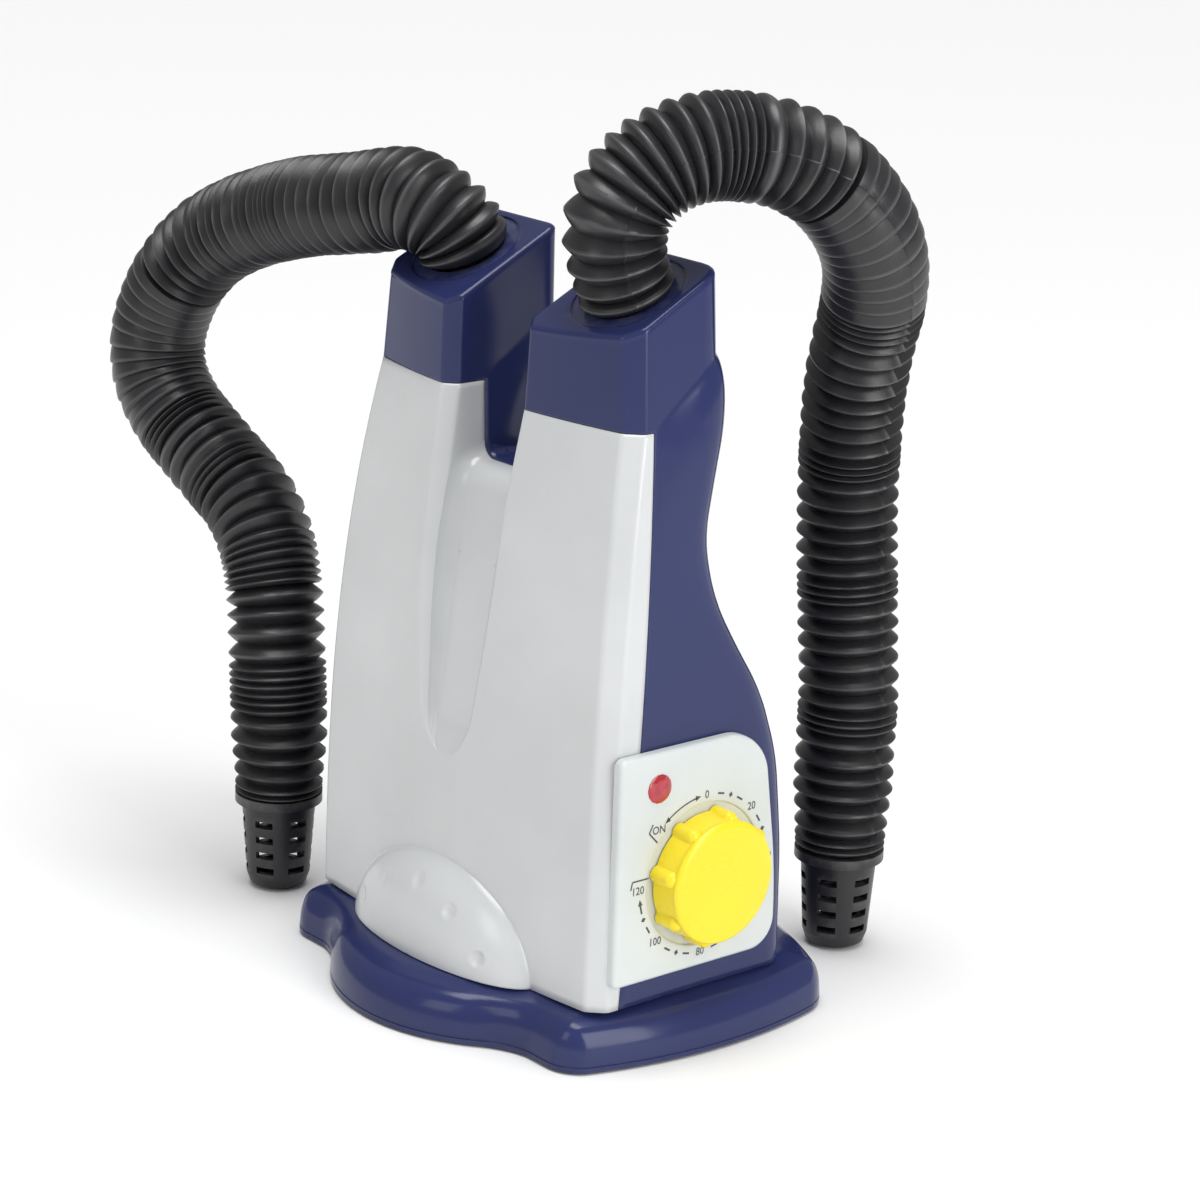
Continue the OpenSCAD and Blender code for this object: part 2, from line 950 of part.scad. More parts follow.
duct_t = 1.6;
arm_x = 40;
arm_y = -16;
arm_z = 148;
arm_r = 22;
module manifold_solid(inset, extra) {
    hull() {
        at_fan(heater_z1 - extra)
            cylinder(r = shroud_r - inset, h = 1 + extra, $fn = 48);
        for (s = [-1, 1])
            translate([s * arm_x, arm_y, arm_z - 1])
                cylinder(r = arm_r - inset, h = 1, $fn = 32);
    }
}

module duct_manifold() {
    color("lightgray")
        difference() {
            manifold_solid(0, 0);
            manifold_solid(duct_t, 0);
            at_fan(heater_z1 - 1)
                cylinder(r = shroud_r - duct_t, h = 2, $fn = 48);
            for (s = [-1, 1])
                translate([s * arm_x, arm_y, arm_z - 2])
                    cylinder(r = 19, h = 4, $fn = 32);
        }
}

neck_z = 200;
neck_r = 17.5;
module riser_solid(side, inset, extra) {
    hull() {
        translate([side * arm_x, arm_y, arm_z - extra])
            cylinder(r = arm_r - inset, h = 1, $fn = 32);
        translate([side * 48, -17, neck_z])
            cylinder(r = neck_r - inset, h = 1, $fn = 32);
    }
    hull() {
        translate([side * 48, -17, neck_z])
            cylinder(r = neck_r - inset, h = 1, $fn = 32);
        at_outlet(side)
            translate([0, 0, -10 + extra])
                cylinder(r = 18.5 - inset, h = 1, $fn = 32);
    }
}

module duct_riser(side) {
    color("lightgray")
        difference() {
            riser_solid(side, 0, 0);
            riser_solid(side, duct_t, 0.5);
            translate([side * arm_x, arm_y, arm_z - 1])
                cylinder(r = arm_r - duct_t, h = 2, $fn = 32);
        }
}

module duct_left() {
    duct_riser(-1);
}

module duct_right() {
    duct_riser(1);
}

// ---------- wiring ----------

terminal_at = [-66, 8, deck_z];
module terminal_block() {
    color("ivory")
        translate(terminal_at)
            difference() {
                translate([-6, -14, 0])
                    cube([12, 28, 13]);
                for (y = [-9, 0, 9]) {
                    translate([0, y, 5])
                        cylinder(r = 1.8, h = 10, $fn = 20);
                    translate([-10, y, 5])
                        rotate([0, 90, 0])
                            cylinder(r = 1.6, h = 20, $fn = 20);
                }
            }
}

// One path each: supply to timer, timer to lamp, supply to motor, supply to heater
wire_paths = [
    [[-62, -1, 27], [-58, -1, 27], [-52, -44, 27], [50, -43, 27], [55, -14, 64], [55, -11, 66.4],
        [57, -11, 66.4]],
    [[57, 9, 66.4], [53, 8, 67], [52, -10, 100], [58, -23, 109], [60.8, -23, 109]],
    [[-62, 17, 27], [-57, 17, 27], [-36, 34, 29], [-15, 32, 36], [-13, 25.1, 41]],
    [[-62, 8, 27], [-58, 8, 27], [-56, -10, 60], [-55, -3, 80], [-52.5, -3, 82]]
];
wire_r = 1;
wire_sides = 8;
wire_bend = 3;

// The path with every corner cut off, so that the wire bends in two easy steps
function toward(a, b) = a + unit(b - a) * min(wire_bend, 0.4 * norm(b - a));
function cut_corners(path) =
    concat([path[0]],
        [for (i = [1 : len(path) - 2]) each [toward(path[i], path[i - 1]), toward(path[i], path[i + 1])]],
        [path[len(path) - 1]]);

module wire(path) {
    n = len(path);
    s = wire_sides;
    f = frames(path, 0, unit(cross(along(path, 0), [0.2, 0.3, 1])), []);
    polyhedron([for (i = [0 : n - 1]) each tube_ring(path[i], f[i], wire_r, s)],
        concat([[for (i = [s - 1 : -1 : 0]) i]],
            [for (k = [0 : n - 2], i = [0 : s - 1])
                let (a = k * s + i, b = k * s + (i + 1) % s)
                each [[a, b, a + s], [b, b + s, a + s]]],
            [[for (i = [0 : s - 1]) (n - 1) * s + i]]),
        convexity = 4);
}

module wiring() {
    color("firebrick")
        for (p = wire_paths)
            wire(cut_corners(p));
}

// ---------- hoses ----------

route_right = [[49, -12, 287], [49, -18, 301], [50, -20, 316], [53, -14, 329], [58, -3, 338],
    [63, 12, 342], [69, 29, 341], [74, 46, 336], [77, 63, 326], [79, 77, 311], [76, 88, 294],
    [69, 95, 276], [61, 99, 258], [54, 103, 239], [49, 107, 219], [46, 110, 198], [45, 112, 176],
    [46, 113, 154], [47, 114, 132], [48, 115, 110], [48, 115, 88], [48, 115, 66], [48, 115, 42]];
route_left = [[-49, -12, 287], [-50, -16, 296], [-60, -22, 303], [-74, -23, 304], [-91, -25, 300],
    [-110, -26, 296], [-130, -26, 292], [-149, -26, 287], [-168, -26, 281], [-186, -26, 274],
    [-203, -27, 265], [-217, -29, 253], [-228, -31, 238], [-234, -33, 220], [-231, -34, 203],
    [-220, -33, 189], [-204, -31, 178], [-187, -30, 169], [-170, -29, 159], [-155, -31, 146],
    [-146, -33, 127], [-141, -35, 106], [-138, -36, 84], [-137, -36, 62], [-137, -36, 42]];

function unit(v) = v / norm(v);
function along(route, i) =
    unit(route[min(i + 1, len(route) - 1)] - route[max(i - 1, 0)]);
// Sideways direction, carried from ring to ring so that the tube doesn't twist
function carry(side, dir) = unit(side - dir * (side * dir));
function frames(route, i, side, out) =
    i == len(route) ? out
    : let (d = along(route, i), s = carry(side, d)) frames(route, i + 1, s, concat(out, [[d, s]]));
function tube_ring(c, f, r, sides) =
    let (u = f[1], v = cross(f[0], u), step = 360 / sides)
    [for (k = [0 : sides - 1]) c + r * (cos(k * step) * u + sin(k * step) * v)];

hose_sides = 12;
// The plain tube stays a little inside the folds' crests
tube_r = hose_r - 0.6;
// Hollow tube: the outer rings forward, the inner rings back, joined at both ends
module hose(route) {
    n = len(route);
    f = frames(route, 0, unit(cross(along(route, 0), [1, 0.3, 0])), []);
    s = hose_sides;
    outer = [for (i = [0 : n - 1]) each tube_ring(route[i], f[i], tube_r, s)];
    inner = [for (i = [n - 1 : -1 : 0]) each tube_ring(route[i], f[i], tube_r - hose_wall, s)];
    m = 2 * n;
    polyhedron(concat(outer, inner),
        [for (k = [0 : m - 1], i = [0 : s - 1])
            let (a = k * s + i, b = k * s + (i + 1) % s, c = ((k + 1) % m) * s)
            each [[b, a, c + i], [b, c + i, c + (i + 1) % s]]],
        convexity = 10);
}

module hose_left() {
    color(black)
        hose(route_left);
}

module hose_right() {
    color(black)
        hose(route_right);
}

// Vented end piece that stands on the floor inside the footwear
module nozzle(foot) {
    color("black")
        translate([foot[0], foot[1], 0])
            difference() {
                union() {
                    rotate_extrude($fn = 48)
                        polygon([[0, 0.5], [9, 0.5], [12, 2], [13.4, 6], [15.6, 38], [18.4, 38],
                            [18.4, 41.9], [0, 41.9]]);
                }
                translate([0, 0, 3])
                    cylinder(r = 11, h = 60, $fn = 48);
                for (k = [0 : 3], a = [0 : 60 : 150])
                    translate([0, 0, 8 + 7 * k])
                        rotate([0, 0, a])
                            translate([-20, -4, 0])
                                cube([40, 8, 3]);
            }
}

module nozzle_left() {
    nozzle(route_left[len(route_left) - 1]);
}

module nozzle_right() {
    nozzle(route_right[len(route_right) - 1]);
}

base_cover();
base_plate();
rubber_feet();
base_screws();
front_shell();
rear_shell();
shell_screws();
intake_grille();
cord_gland();
collar_left();
collar_right();
control_panel();
panel_screws();
lamp_lens();
neon_lamp();
timer_body();
timer_screws();
timer_shaft();
knob();
stator();
motor_coil();
bracket_lower();
bracket_upper();
bearing_lower();
bearing_upper();
motor_screws();
rotor();
motor_shaft();
impeller();
fan_shroud();
heater_tube();
heater_frame();
heater_coil();
thermostat();
thermal_fuse();
duct_manifold();
duct_left();
duct_right();
terminal_block();
wiring();
hose_left();
hose_right();
nozzle_left();
nozzle_right();
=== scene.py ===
import math

import bmesh
import bpy
import numpy as np
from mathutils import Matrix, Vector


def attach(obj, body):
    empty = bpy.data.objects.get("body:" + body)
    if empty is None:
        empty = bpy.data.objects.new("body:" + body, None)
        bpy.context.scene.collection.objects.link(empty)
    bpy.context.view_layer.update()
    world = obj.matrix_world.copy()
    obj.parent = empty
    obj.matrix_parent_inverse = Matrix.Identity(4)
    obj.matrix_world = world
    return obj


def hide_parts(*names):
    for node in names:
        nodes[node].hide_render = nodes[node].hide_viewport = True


# Boot dryer: two-tone casing with two outlet towers, timer knob and two stay-put bellows hoses.
# Shapes are worked out in millimetres in the frame of the CAD model and put in place in metres.

MM = 0.001
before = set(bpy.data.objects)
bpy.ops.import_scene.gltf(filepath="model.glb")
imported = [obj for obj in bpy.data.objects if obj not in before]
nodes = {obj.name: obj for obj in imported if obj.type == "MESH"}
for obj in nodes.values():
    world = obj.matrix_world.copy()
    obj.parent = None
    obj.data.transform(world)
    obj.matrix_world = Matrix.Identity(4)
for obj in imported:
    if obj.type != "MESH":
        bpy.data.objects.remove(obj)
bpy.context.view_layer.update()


# ---------- sizes, as in the CAD model ----------

DECK_Z = 22.0
SEAM_Z = 242.0
TOP_Z = 300.0
TOP_Y = 12.3
TOP_SLOPE = 0.51
VALLEY_Z = 212.0
VALLEY_SEAM_Y = -23.5
FACET_X = 6.0
FACET_Y = 6.5
CHAMFER = 5.0
HOSE_X = 49.0
HOSE_Y = -12.0
PANEL_X = 92.8
DIAL_Y = -1.0
DIAL_Z = 70.0
LAMP_Y = -25.0
LAMP_Z = 109.0
WALL = 2.4
GAP = 0.18


# ---------- camera ----------

def camera():
    """A long lens that looks at the middle of the casing from the right of its front."""
    azimuth, elevation, roll = (math.radians(d) for d in (49.485, 16.813, 2.123))
    right = np.array([math.cos(azimuth), math.sin(azimuth), 0.0])
    back = np.array([math.sin(azimuth) * math.cos(elevation),
                     -math.cos(azimuth) * math.cos(elevation), math.sin(elevation)])
    up = np.cross(back, right)
    x_axis = right * math.cos(roll) + up * math.sin(roll)
    y_axis = up * math.cos(roll) - right * math.sin(roll)
    data = bpy.data.cameras.new("camera")
    data.lens = 105.1
    data.sensor_width = 36
    data.clip_end = 20
    obj = bpy.data.objects.new("camera", data)
    bpy.context.scene.collection.objects.link(obj)
    place = np.eye(4)
    place[:3, 0] = x_axis
    place[:3, 1] = y_axis
    place[:3, 2] = back
    place[:3, 3] = (np.array([32.4, -6.0, 163.9]) + 1343 * back) * MM
    obj.matrix_world = Matrix(place.tolist())
    bpy.context.scene.camera = obj


camera()


# ---------- finishes ----------

def shader(name):
    """A new material, its tree, and its Principled shader."""
    material = bpy.data.materials.new(name)
    material.use_nodes = True
    tree = material.node_tree
    return material, tree, tree.nodes["Principled BSDF"]


def noise(tree, scale, detail=3.0, stretch=(1, 1, 1)):
    """Value noise on Object coordinates, its grain about 1 / scale metres."""
    where = tree.nodes.new("ShaderNodeTexCoord")
    turn = tree.nodes.new("ShaderNodeMapping")
    turn.inputs["Scale"].default_value = stretch
    grain = tree.nodes.new("ShaderNodeTexNoise")
    grain.inputs["Scale"].default_value = scale
    grain.inputs["Detail"].default_value = detail
    tree.links.new(where.outputs["Object"], turn.inputs["Vector"])
    tree.links.new(turn.outputs["Vector"], grain.inputs["Vector"])
    return grain.outputs["Fac"]


def between(tree, value, low, high, start=0.3, end=0.7):
    """value, spread from low at start to high at end."""
    step = tree.nodes.new("ShaderNodeMapRange")
    step.inputs["From Min"].default_value = start
    step.inputs["From Max"].default_value = end
    step.inputs["To Min"].default_value = low
    step.inputs["To Max"].default_value = high
    tree.links.new(value, step.inputs["Value"])
    return step.outputs["Result"]


def blend_colours(tree, share, first, second):
    """The colour between first and second, by share."""
    mix = tree.nodes.new("ShaderNodeMix")
    mix.data_type = "RGBA"
    for socket, colour in ((mix.inputs[6], first), (mix.inputs[7], second)):
        if isinstance(colour, bpy.types.NodeSocket):
            tree.links.new(colour, socket)
        else:
            socket.default_value = (*colour, 1)
    tree.links.new(share, mix.inputs[0])
    return mix.outputs[2]


def edges(tree):
    """1 on worn outer edges and 0 elsewhere."""
    shape = tree.nodes.new("ShaderNodeNewGeometry")
    return between(tree, shape.outputs["Pointiness"], 0, 1, 0.53, 0.62)


def bump(tree, height, depth, into):
    """Turns height into a surface relief depth metres high."""
    relief = tree.nodes.new("ShaderNodeBump")
    relief.inputs["Strength"].default_value = 1.0
    relief.inputs["Distance"].default_value = depth
    tree.links.new(height, relief.inputs["Height"])
    tree.links.new(relief.outputs["Normal"], into.inputs["Normal"])


def moulded_plastic(name, colour, rough=(0.2, 0.3), grain=1400.0, relief=0.00002, wear=0.12, coat=0.0,
                    shine=0.5):
    """Moulded plastic: faint flow clouds in the colour, fine grain, and lighter, duller edges."""
    material, tree, out = shader(name)
    clouds = noise(tree, 14.0, 4.0)
    base = blend_colours(tree, between(tree, clouds, 0, 1),
                         tuple(0.93 * c for c in colour), tuple(min(1, 1.05 * c) for c in colour))
    worn = tuple(c + wear * (1 - c) for c in colour)
    rub = between(tree, noise(tree, 160.0, 5.0), 0, 0.6)
    on_edges = tree.nodes.new("ShaderNodeMath")
    on_edges.operation = "MULTIPLY"
    tree.links.new(edges(tree), on_edges.inputs[0])
    tree.links.new(rub, on_edges.inputs[1])
    tree.links.new(blend_colours(tree, on_edges.outputs[0], base, worn), out.inputs["Base Color"])
    tree.links.new(between(tree, noise(tree, 60.0, 6.0), rough[0], rough[1]), out.inputs["Roughness"])
    bump(tree, noise(tree, grain, 2.0), relief, out)
    out.inputs["Specular IOR Level"].default_value = shine
    out.inputs["Coat Weight"].default_value = coat
    out.inputs["Coat Roughness"].default_value = 0.08
    return material


def bellows_plastic(name):
    """Black blow-moulded hose: its own black in the folds, and lighter grey along the crests, a painted
    highlight that noise breaks up into patches of rubbing wear.
    """
    material, tree, out = shader(name)
    fold = tree.nodes.new("ShaderNodeAttribute")
    fold.attribute_name = "crest"
    crest = between(tree, fold.outputs["Fac"], 0, 1, 0.86, 1.0)
    dull = between(tree, noise(tree, 45.0, 5.0), 0.35, 1.0)
    # The crest grey is a painted highlight along the fold crests, thinned by noise into rubbed patches of
    # wear.
    rub = tree.nodes.new("ShaderNodeMath")
    rub.operation = "MULTIPLY"
    tree.links.new(crest, rub.inputs[0])
    tree.links.new(dull, rub.inputs[1])
    tree.links.new(blend_colours(tree, rub.outputs[0], (0.016, 0.016, 0.018), (0.085, 0.085, 0.09)),
                   out.inputs["Base Color"])
    tree.links.new(between(tree, noise(tree, 90.0, 6.0), 0.3, 0.44), out.inputs["Roughness"])
    bump(tree, noise(tree, 900.0, 3.0), 0.00004, out)
    out.inputs["Specular IOR Level"].default_value = 0.55
    return material


def metal(name, colour, rough, stretch=(1, 1, 30)):
    """Drawn or plated metal: fine lines along one way and patches of duller plating."""
    material, tree, out = shader(name)
    lines = noise(tree, 400.0, 3.0, stretch)
    patches = noise(tree, 70.0, 5.0)
    tree.links.new(blend_colours(tree, between(tree, patches, 0, 1), tuple(0.8 * c for c in colour), colour),
                   out.inputs["Base Color"])
    tree.links.new(between(tree, patches, rough, rough + 0.15), out.inputs["Roughness"])
    out.inputs["Metallic"].default_value = 1.0
    bump(tree, lines, 0.00002, out)
    return material


def red_glass(name):
    """Clear red plastic of the lamp, with faint clouds inside."""
    material, tree, out = shader(name)
    tree.links.new(blend_colours(tree, between(tree, noise(tree, 350.0, 4.0), 0, 1), (0.30, 0.008, 0.02),
                                 (0.50, 0.02, 0.035)), out.inputs["Base Color"])
    tree.links.new(between(tree, noise(tree, 200.0, 4.0), 0.08, 0.2), out.inputs["Roughness"])
    bump(tree, noise(tree, 1500.0, 2.0), 0.00002, out)
    out.inputs["Coat Weight"].default_value = 0.6
    return material


def printed_ink(name):
    """Dark grey pad-printed ink, a little uneven."""
    material, tree, out = shader(name)
    tree.links.new(blend_colours(tree, between(tree, noise(tree, 900.0, 3.0), 0, 1), (0.05, 0.055, 0.065),
                                 (0.09, 0.095, 0.105)), out.inputs["Base Color"])
    tree.links.new(between(tree, noise(tree, 500.0, 3.0), 0.45, 0.6), out.inputs["Roughness"])
    bump(tree, noise(tree, 3000.0, 2.0), 0.00001, out)
    return material


WHITE = moulded_plastic("white_casing", (0.63, 0.645, 0.65), (0.18, 0.26), 1800.0, 0.00001, 0.1, 0.2)
BLUE = moulded_plastic("blue_casing", (0.024, 0.032, 0.112), (0.13, 0.22), 1600.0, 0.000012, 0.06, 0.06, 0.3)
PANEL_WHITE = moulded_plastic("white_panel", (0.66, 0.70, 0.695), (0.3, 0.4), 2200.0, 0.00002, 0.1)
YELLOW = moulded_plastic("yellow_knob", (0.95, 0.75, 0.02), (0.24, 0.34), 1500.0, 0.00002, 0.12)
BELLOWS = bellows_plastic("black_bellows")
NOZZLE_BLACK = moulded_plastic("black_nozzle", (0.016, 0.016, 0.018), (0.32, 0.45), 900.0, 0.00003, 0.1)
INK = printed_ink("dial_ink")
RED = red_glass("red_lamp")

NODE_FINISH = {
    "collar_left collar_right intake_grille": BLUE,
    "base_plate cord_gland impeller fan_shroud": NOZZLE_BLACK,
    "nozzle_left nozzle_right": NOZZLE_BLACK,
    "rubber_feet": moulded_plastic("foot_rubber", (0.02, 0.02, 0.02), (0.6, 0.8), 500.0, 0.00008, 0.05),
    "duct_manifold duct_left duct_right": moulded_plastic("duct_grey", (0.25, 0.26, 0.27), (0.35, 0.5)),
    "timer_body terminal_block": moulded_plastic("ivory_phenolic", (0.62, 0.55, 0.38), (0.35, 0.5)),
    "timer_shaft": metal("brass_spindle", (0.78, 0.56, 0.24), 0.25),
    "base_screws shell_screws panel_screws timer_screws motor_screws":
        metal("zinc_screws", (0.7, 0.7, 0.68), 0.3),
    "bracket_lower bracket_upper bearing_lower bearing_upper motor_shaft":
        metal("motor_steel", (0.62, 0.62, 0.62), 0.28),
    "stator rotor": metal("lamination_steel", (0.4, 0.4, 0.42), 0.4, (1, 1, 60)),
    "motor_coil": metal("copper_winding", (0.7, 0.28, 0.1), 0.35, (1, 1, 80)),
    "heater_tube heater_frame": moulded_plastic("mica_board", (0.5, 0.44, 0.33), (0.5, 0.7), 300.0, 0.0001),
    "heater_coil": metal("heater_wire", (0.45, 0.42, 0.4), 0.4),
    "thermostat thermal_fuse": metal("thermal_parts", (0.6, 0.58, 0.52), 0.35),
    "wiring": moulded_plastic("wire_red", (0.45, 0.03, 0.02), (0.35, 0.5), 900.0),
    "neon_lamp": red_glass("neon_glass"),
}


def finish_cad_nodes():
    """Every CAD node that stays in sight or inside gets its material."""
    for names, material in NODE_FINISH.items():
        for name in names.split():
            mesh = nodes[name].data
            mesh.materials.clear()
            mesh.materials.append(material)


finish_cad_nodes()


# ---------- grids and pieces ----------

def cells(rows, columns, loop=False):
    """Corner numbers of every cell of a grid numbered row by row; loop joins the last column to the first."""
    r, c = np.meshgrid(np.arange(rows - 1), np.arange(columns if loop else columns - 1), indexing="ij")
    next_c = (c + 1) % columns
    quads = [r * columns + c, r * columns + next_c, (r + 1) * columns + next_c, (r + 1) * columns + c]
    return np.stack(quads, -1).reshape(-1, 4)


def patch(points, inside, loop=False, keep=None):
    """A grid of points as (points, faces) whose faces point away from the point inside."""
    rows, columns = points.shape[:2]
    faces = cells(rows, columns, loop)
    if keep is not None:
        faces = faces[keep.reshape(-1)]
    flat = points.reshape(-1, 3)
    a, b, c, d = (flat[faces[:, i]] for i in range(4))
    normal = np.cross(c - a, d - b)
    if np.sum(normal * ((a + c) / 2 - np.asarray(inside, float))) < 0:
        faces = faces[:, ::-1]
    return flat, faces


def mirrored(part):
    """The same patch on the other side of the middle plane."""
    points, faces = part
    return points * np.array([-1.0, 1, 1]), faces[:, ::-1]


def both(*parts):
    """Patches of the right half together with their mirror images."""
    return [*parts, *(mirrored(p) for p in parts)]


def piece(name, parts, material, body="casing", replaces=(), sharp=32, wall=0.0, merge=0.004):
    """One mesh object from patches, in metres, with close points merged and a wall if one is asked for."""
    starts = np.cumsum([0] + [len(p) for p, _ in parts])
    points = np.concatenate([p for p, _ in parts]) * MM
    faces = np.concatenate([f + s for (_, f), s in zip(parts, starts)])
    mesh = bpy.data.meshes.new(name)
    mesh.from_pydata(points.tolist(), [], faces.tolist())
    work = bmesh.new()
    work.from_mesh(mesh)
    bmesh.ops.remove_doubles(work, verts=work.verts, dist=merge * MM)
    bmesh.ops.dissolve_degenerate(work, edges=work.edges, dist=merge * MM)
    work.to_mesh(mesh)
    work.free()
    mesh.polygons.foreach_set("use_smooth", np.ones(len(mesh.polygons), bool))
    mesh.set_sharp_from_angle(angle=math.radians(sharp))
    mesh.materials.append(material)
    obj = bpy.data.objects.new(name, mesh)
    bpy.context.scene.collection.objects.link(obj)
    if wall:
        thick = obj.modifiers.new("wall", "SOLIDIFY")
        thick.thickness = wall * MM
        thick.offset = -1
    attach(obj, body)
    if replaces:
        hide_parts(*replaces)
    return obj


def stack(*columns):
    """Points from x, y, z values of one shape."""
    return np.stack(np.broadcast_arrays(*columns), -1).astype(float)


def rounded(corners, cuts, runs, bend=5):
    """Many polylines at once, shape (rows, corners, 3): each inner corner becomes a quadratic curve that
    starts and ends cut millimetres from it, and each straight run gets so many points in between.
    A cut may differ from row to row; None takes nearly the whole of both runs, which makes a parabola."""
    t = np.linspace(0, 1, bend)[None, :, None]
    start = corners[:, :1]
    line = [start]
    last = corners.shape[1] - 1
    for i in range(1, last + 1):
        here = corners[:, i:i + 1]
        if i == last:
            enter = here
        else:
            legs = [corners[:, j:j + 1] - here for j in (i - 1, i + 1)]
            sizes = [np.linalg.norm(leg, axis=2, keepdims=True) for leg in legs]
            if cuts[i - 1] is None:
                lengths = [0.93 * s for s in sizes]
            else:
                shortest = np.minimum(sizes[0], sizes[1])
                cut = np.reshape(cuts[i - 1], (-1, 1, 1))
                lengths = [np.minimum(cut, 0.45 * shortest)] * 2
            ends = [here + leg * length / np.maximum(size, 1e-9)
                    for leg, length, size in zip(legs, lengths, sizes)]
            enter = ends[0]
        share = np.linspace(0, 1, runs[i - 1] + 2)[None, 1:-1, None]
        line.append(start + (enter - start) * share)
        if i == last:
            line.append(enter)
        else:
            line.append((1 - t) ** 2 * ends[0] + 2 * t * (1 - t) * here + t ** 2 * ends[1])
            start = ends[1]
    return np.concatenate(line, axis=1)


# ---------- casing outline by height ----------

def rise(z):
    """0 at the deck, 1 at the colour seam."""
    return np.clip((z - DECK_Z) / (SEAM_Z - DECK_Z), 0, 1)


def half_width(z):
    """Half width of the casing: nearly upright at the foot, drawn in faster towards the seam."""
    return np.where(z <= SEAM_Z, 89.5 - 10.5 * rise(z) ** 2.6, 79 - 0.085 * (z - SEAM_Z))


def front_edge(z):
    """How far forward the front face lies at its outer edges."""
    return np.where(z <= SEAM_Z, -50 + 17 * rise(z) ** 2.6, -33 + 0.02 * (z - SEAM_Z))


def front_bow(z):
    """How much further forward the front face lies at its middle."""
    return 5.2 + 3.2 * rise(z)


def front_face(x, z):
    """The front face: a parabola across the width."""
    return front_edge(z) - front_bow(z) * (1 - (x / (half_width(z) - FACET_X)) ** 2)


def rear_face(z):
    """The rear face: belly, waist, then tower, its bends smoothed."""
    heights = [22, 70, 108, 135, 155, 175, 198, 222, 242, 320]
    places = [48, 47, 43, 34, 21, 10, 5.5, 9, 13, 12.3]
    shifts = np.linspace(-9, 9, 7)
    return np.mean([np.interp(z + s, heights, places) for s in shifts], axis=0)


def seam_plane(z):
    """Where the front and the rear shell meet at the sides."""
    return -39.7 + 0.07 * z


def valley_half(z):
    """Half width of the channel and, above it, of the valley between the towers."""
    z = np.asarray(z, float)
    arch = 14.0 * np.sqrt(1 - np.clip((126 - z) / 25, 0, 1) ** 2)
    smooth = [np.interp(z + s, [126, 150, 180, 211, 242, 300], [14.0, 16.8, 18.4, 18.6, 20.3, 21.3])
              for s in (-8, 0, 8)]
    return np.where(z < 126, arch, np.mean(smooth, axis=0))


def channel_floor(z):
    """The channel's floor leans back evenly to the shelf, after a short rounded step at its lower end."""
    step = 2.6 * ease((z - 100.5) / 14) * (1 - ease((z - 120) / 70))
    return np.maximum(front_face(0 * z, z), -55.5 + 21.3 * (z - 100) / 112 + step)


def top_plane(y):
    """Height of the tilted tower tops."""
    return TOP_Z + TOP_SLOPE * (y - TOP_Y)


def ease(t):
    """Smooth step from 0 to 1."""
    t = np.clip(t, 0, 1)
    return t * t * (3 - 2 * t)


# ---------- front shell ----------

def bezier(start, turn, end, count):
    """A quadratic curve from start to end that heads for turn."""
    t = np.linspace(0, 1, count)[:, None]
    start, turn, end = (np.asarray(p, float) for p in (start, turn, end))
    return (1 - t) ** 2 * start + 2 * t * (1 - t) * turn + t ** 2 * end


def front_rows():
    """Heights of the outer columns and the (y, z) path of the middle of the front shell:
    up the front and the channel floor, over the shelf, back along the valley floor to the seam."""
    lower = np.concatenate([np.linspace(DECK_Z, 96, 26), np.linspace(98, 132, 24),
                            np.linspace(135, VALLEY_Z, 34)])
    middle_z = lower - 10 * ease((lower - 150) / (VALLEY_Z - 150))
    over = bezier((channel_floor(np.array(202.0)), 202), (-34.2, VALLEY_Z), (-25.5, VALLEY_Z), 14)[1:]
    back = stack(np.linspace(-25, VALLEY_SEAM_Y - GAP, 3), VALLEY_Z)
    upper = np.linspace(VALLEY_Z, SEAM_Z - GAP, 14)[1:]
    path = np.concatenate([stack(channel_floor(middle_z), middle_z), over, back,
                           stack(VALLEY_SEAM_Y - GAP, upper)])
    heights = np.concatenate([lower, np.full(len(over) + len(back), VALLEY_Z), upper])
    return heights, path, len(lower) + len(over) + len(back)


def front_corners(z, path):
    """Corner points of the front shell's right half, row by row, from the side seam to the middle."""
    half = half_width(z)
    edge = front_edge(z)
    lip = valley_half(z)
    depth = np.maximum(channel_floor(z) - front_face(lip, z), 0)
    chamfer = np.minimum(CHAMFER, 0.42 * depth)
    outer_x = half - FACET_X
    inner_x = lip + chamfer
    slope = 2 * front_bow(z) / outer_x
    turn_x = (outer_x + inner_x) / 2
    turn_y = edge + slope * (turn_x - outer_x)
    inner_y = front_face(inner_x, z)
    foot_x = valley_half(path[:, 1])
    return np.stack([
        stack(half, seam_plane(z) - GAP, z),
        stack(half, edge + FACET_Y, z),
        stack(outer_x, edge, z),
        stack(turn_x, turn_y, z),
        stack(inner_x, inner_y, z),
        stack(lip, inner_y + chamfer, z),
        stack(foot_x, path[:, 0], path[:, 1]),
        stack(0 * z, path[:, 0], path[:, 1]),
    ], axis=1)


FRONT_SHEET_RUNS = [3, 1, 0, 0, 1, 5, 5]


def front_sheet():
    """The front shell's right half as a grid: rounded sections between the corner points."""
    z, path, floor_rows = front_rows()
    grid = rounded(front_corners(z, path), [1.6, 1.6, None, 1.3, 1.3, 0.0], FRONT_SHEET_RUNS, bend=7)
    keep = np.ones((grid.shape[0] - 1, grid.shape[1] - 1), bool)
    keep[floor_rows - 1:, -1 - FRONT_SHEET_RUNS[-1]:] = False
    return patch(grid, (40, 60, 120), keep=keep)


DIMPLES = [(-39, 33), (-23, 46), (-2, 51), (19, 45), (36.5, 31)]


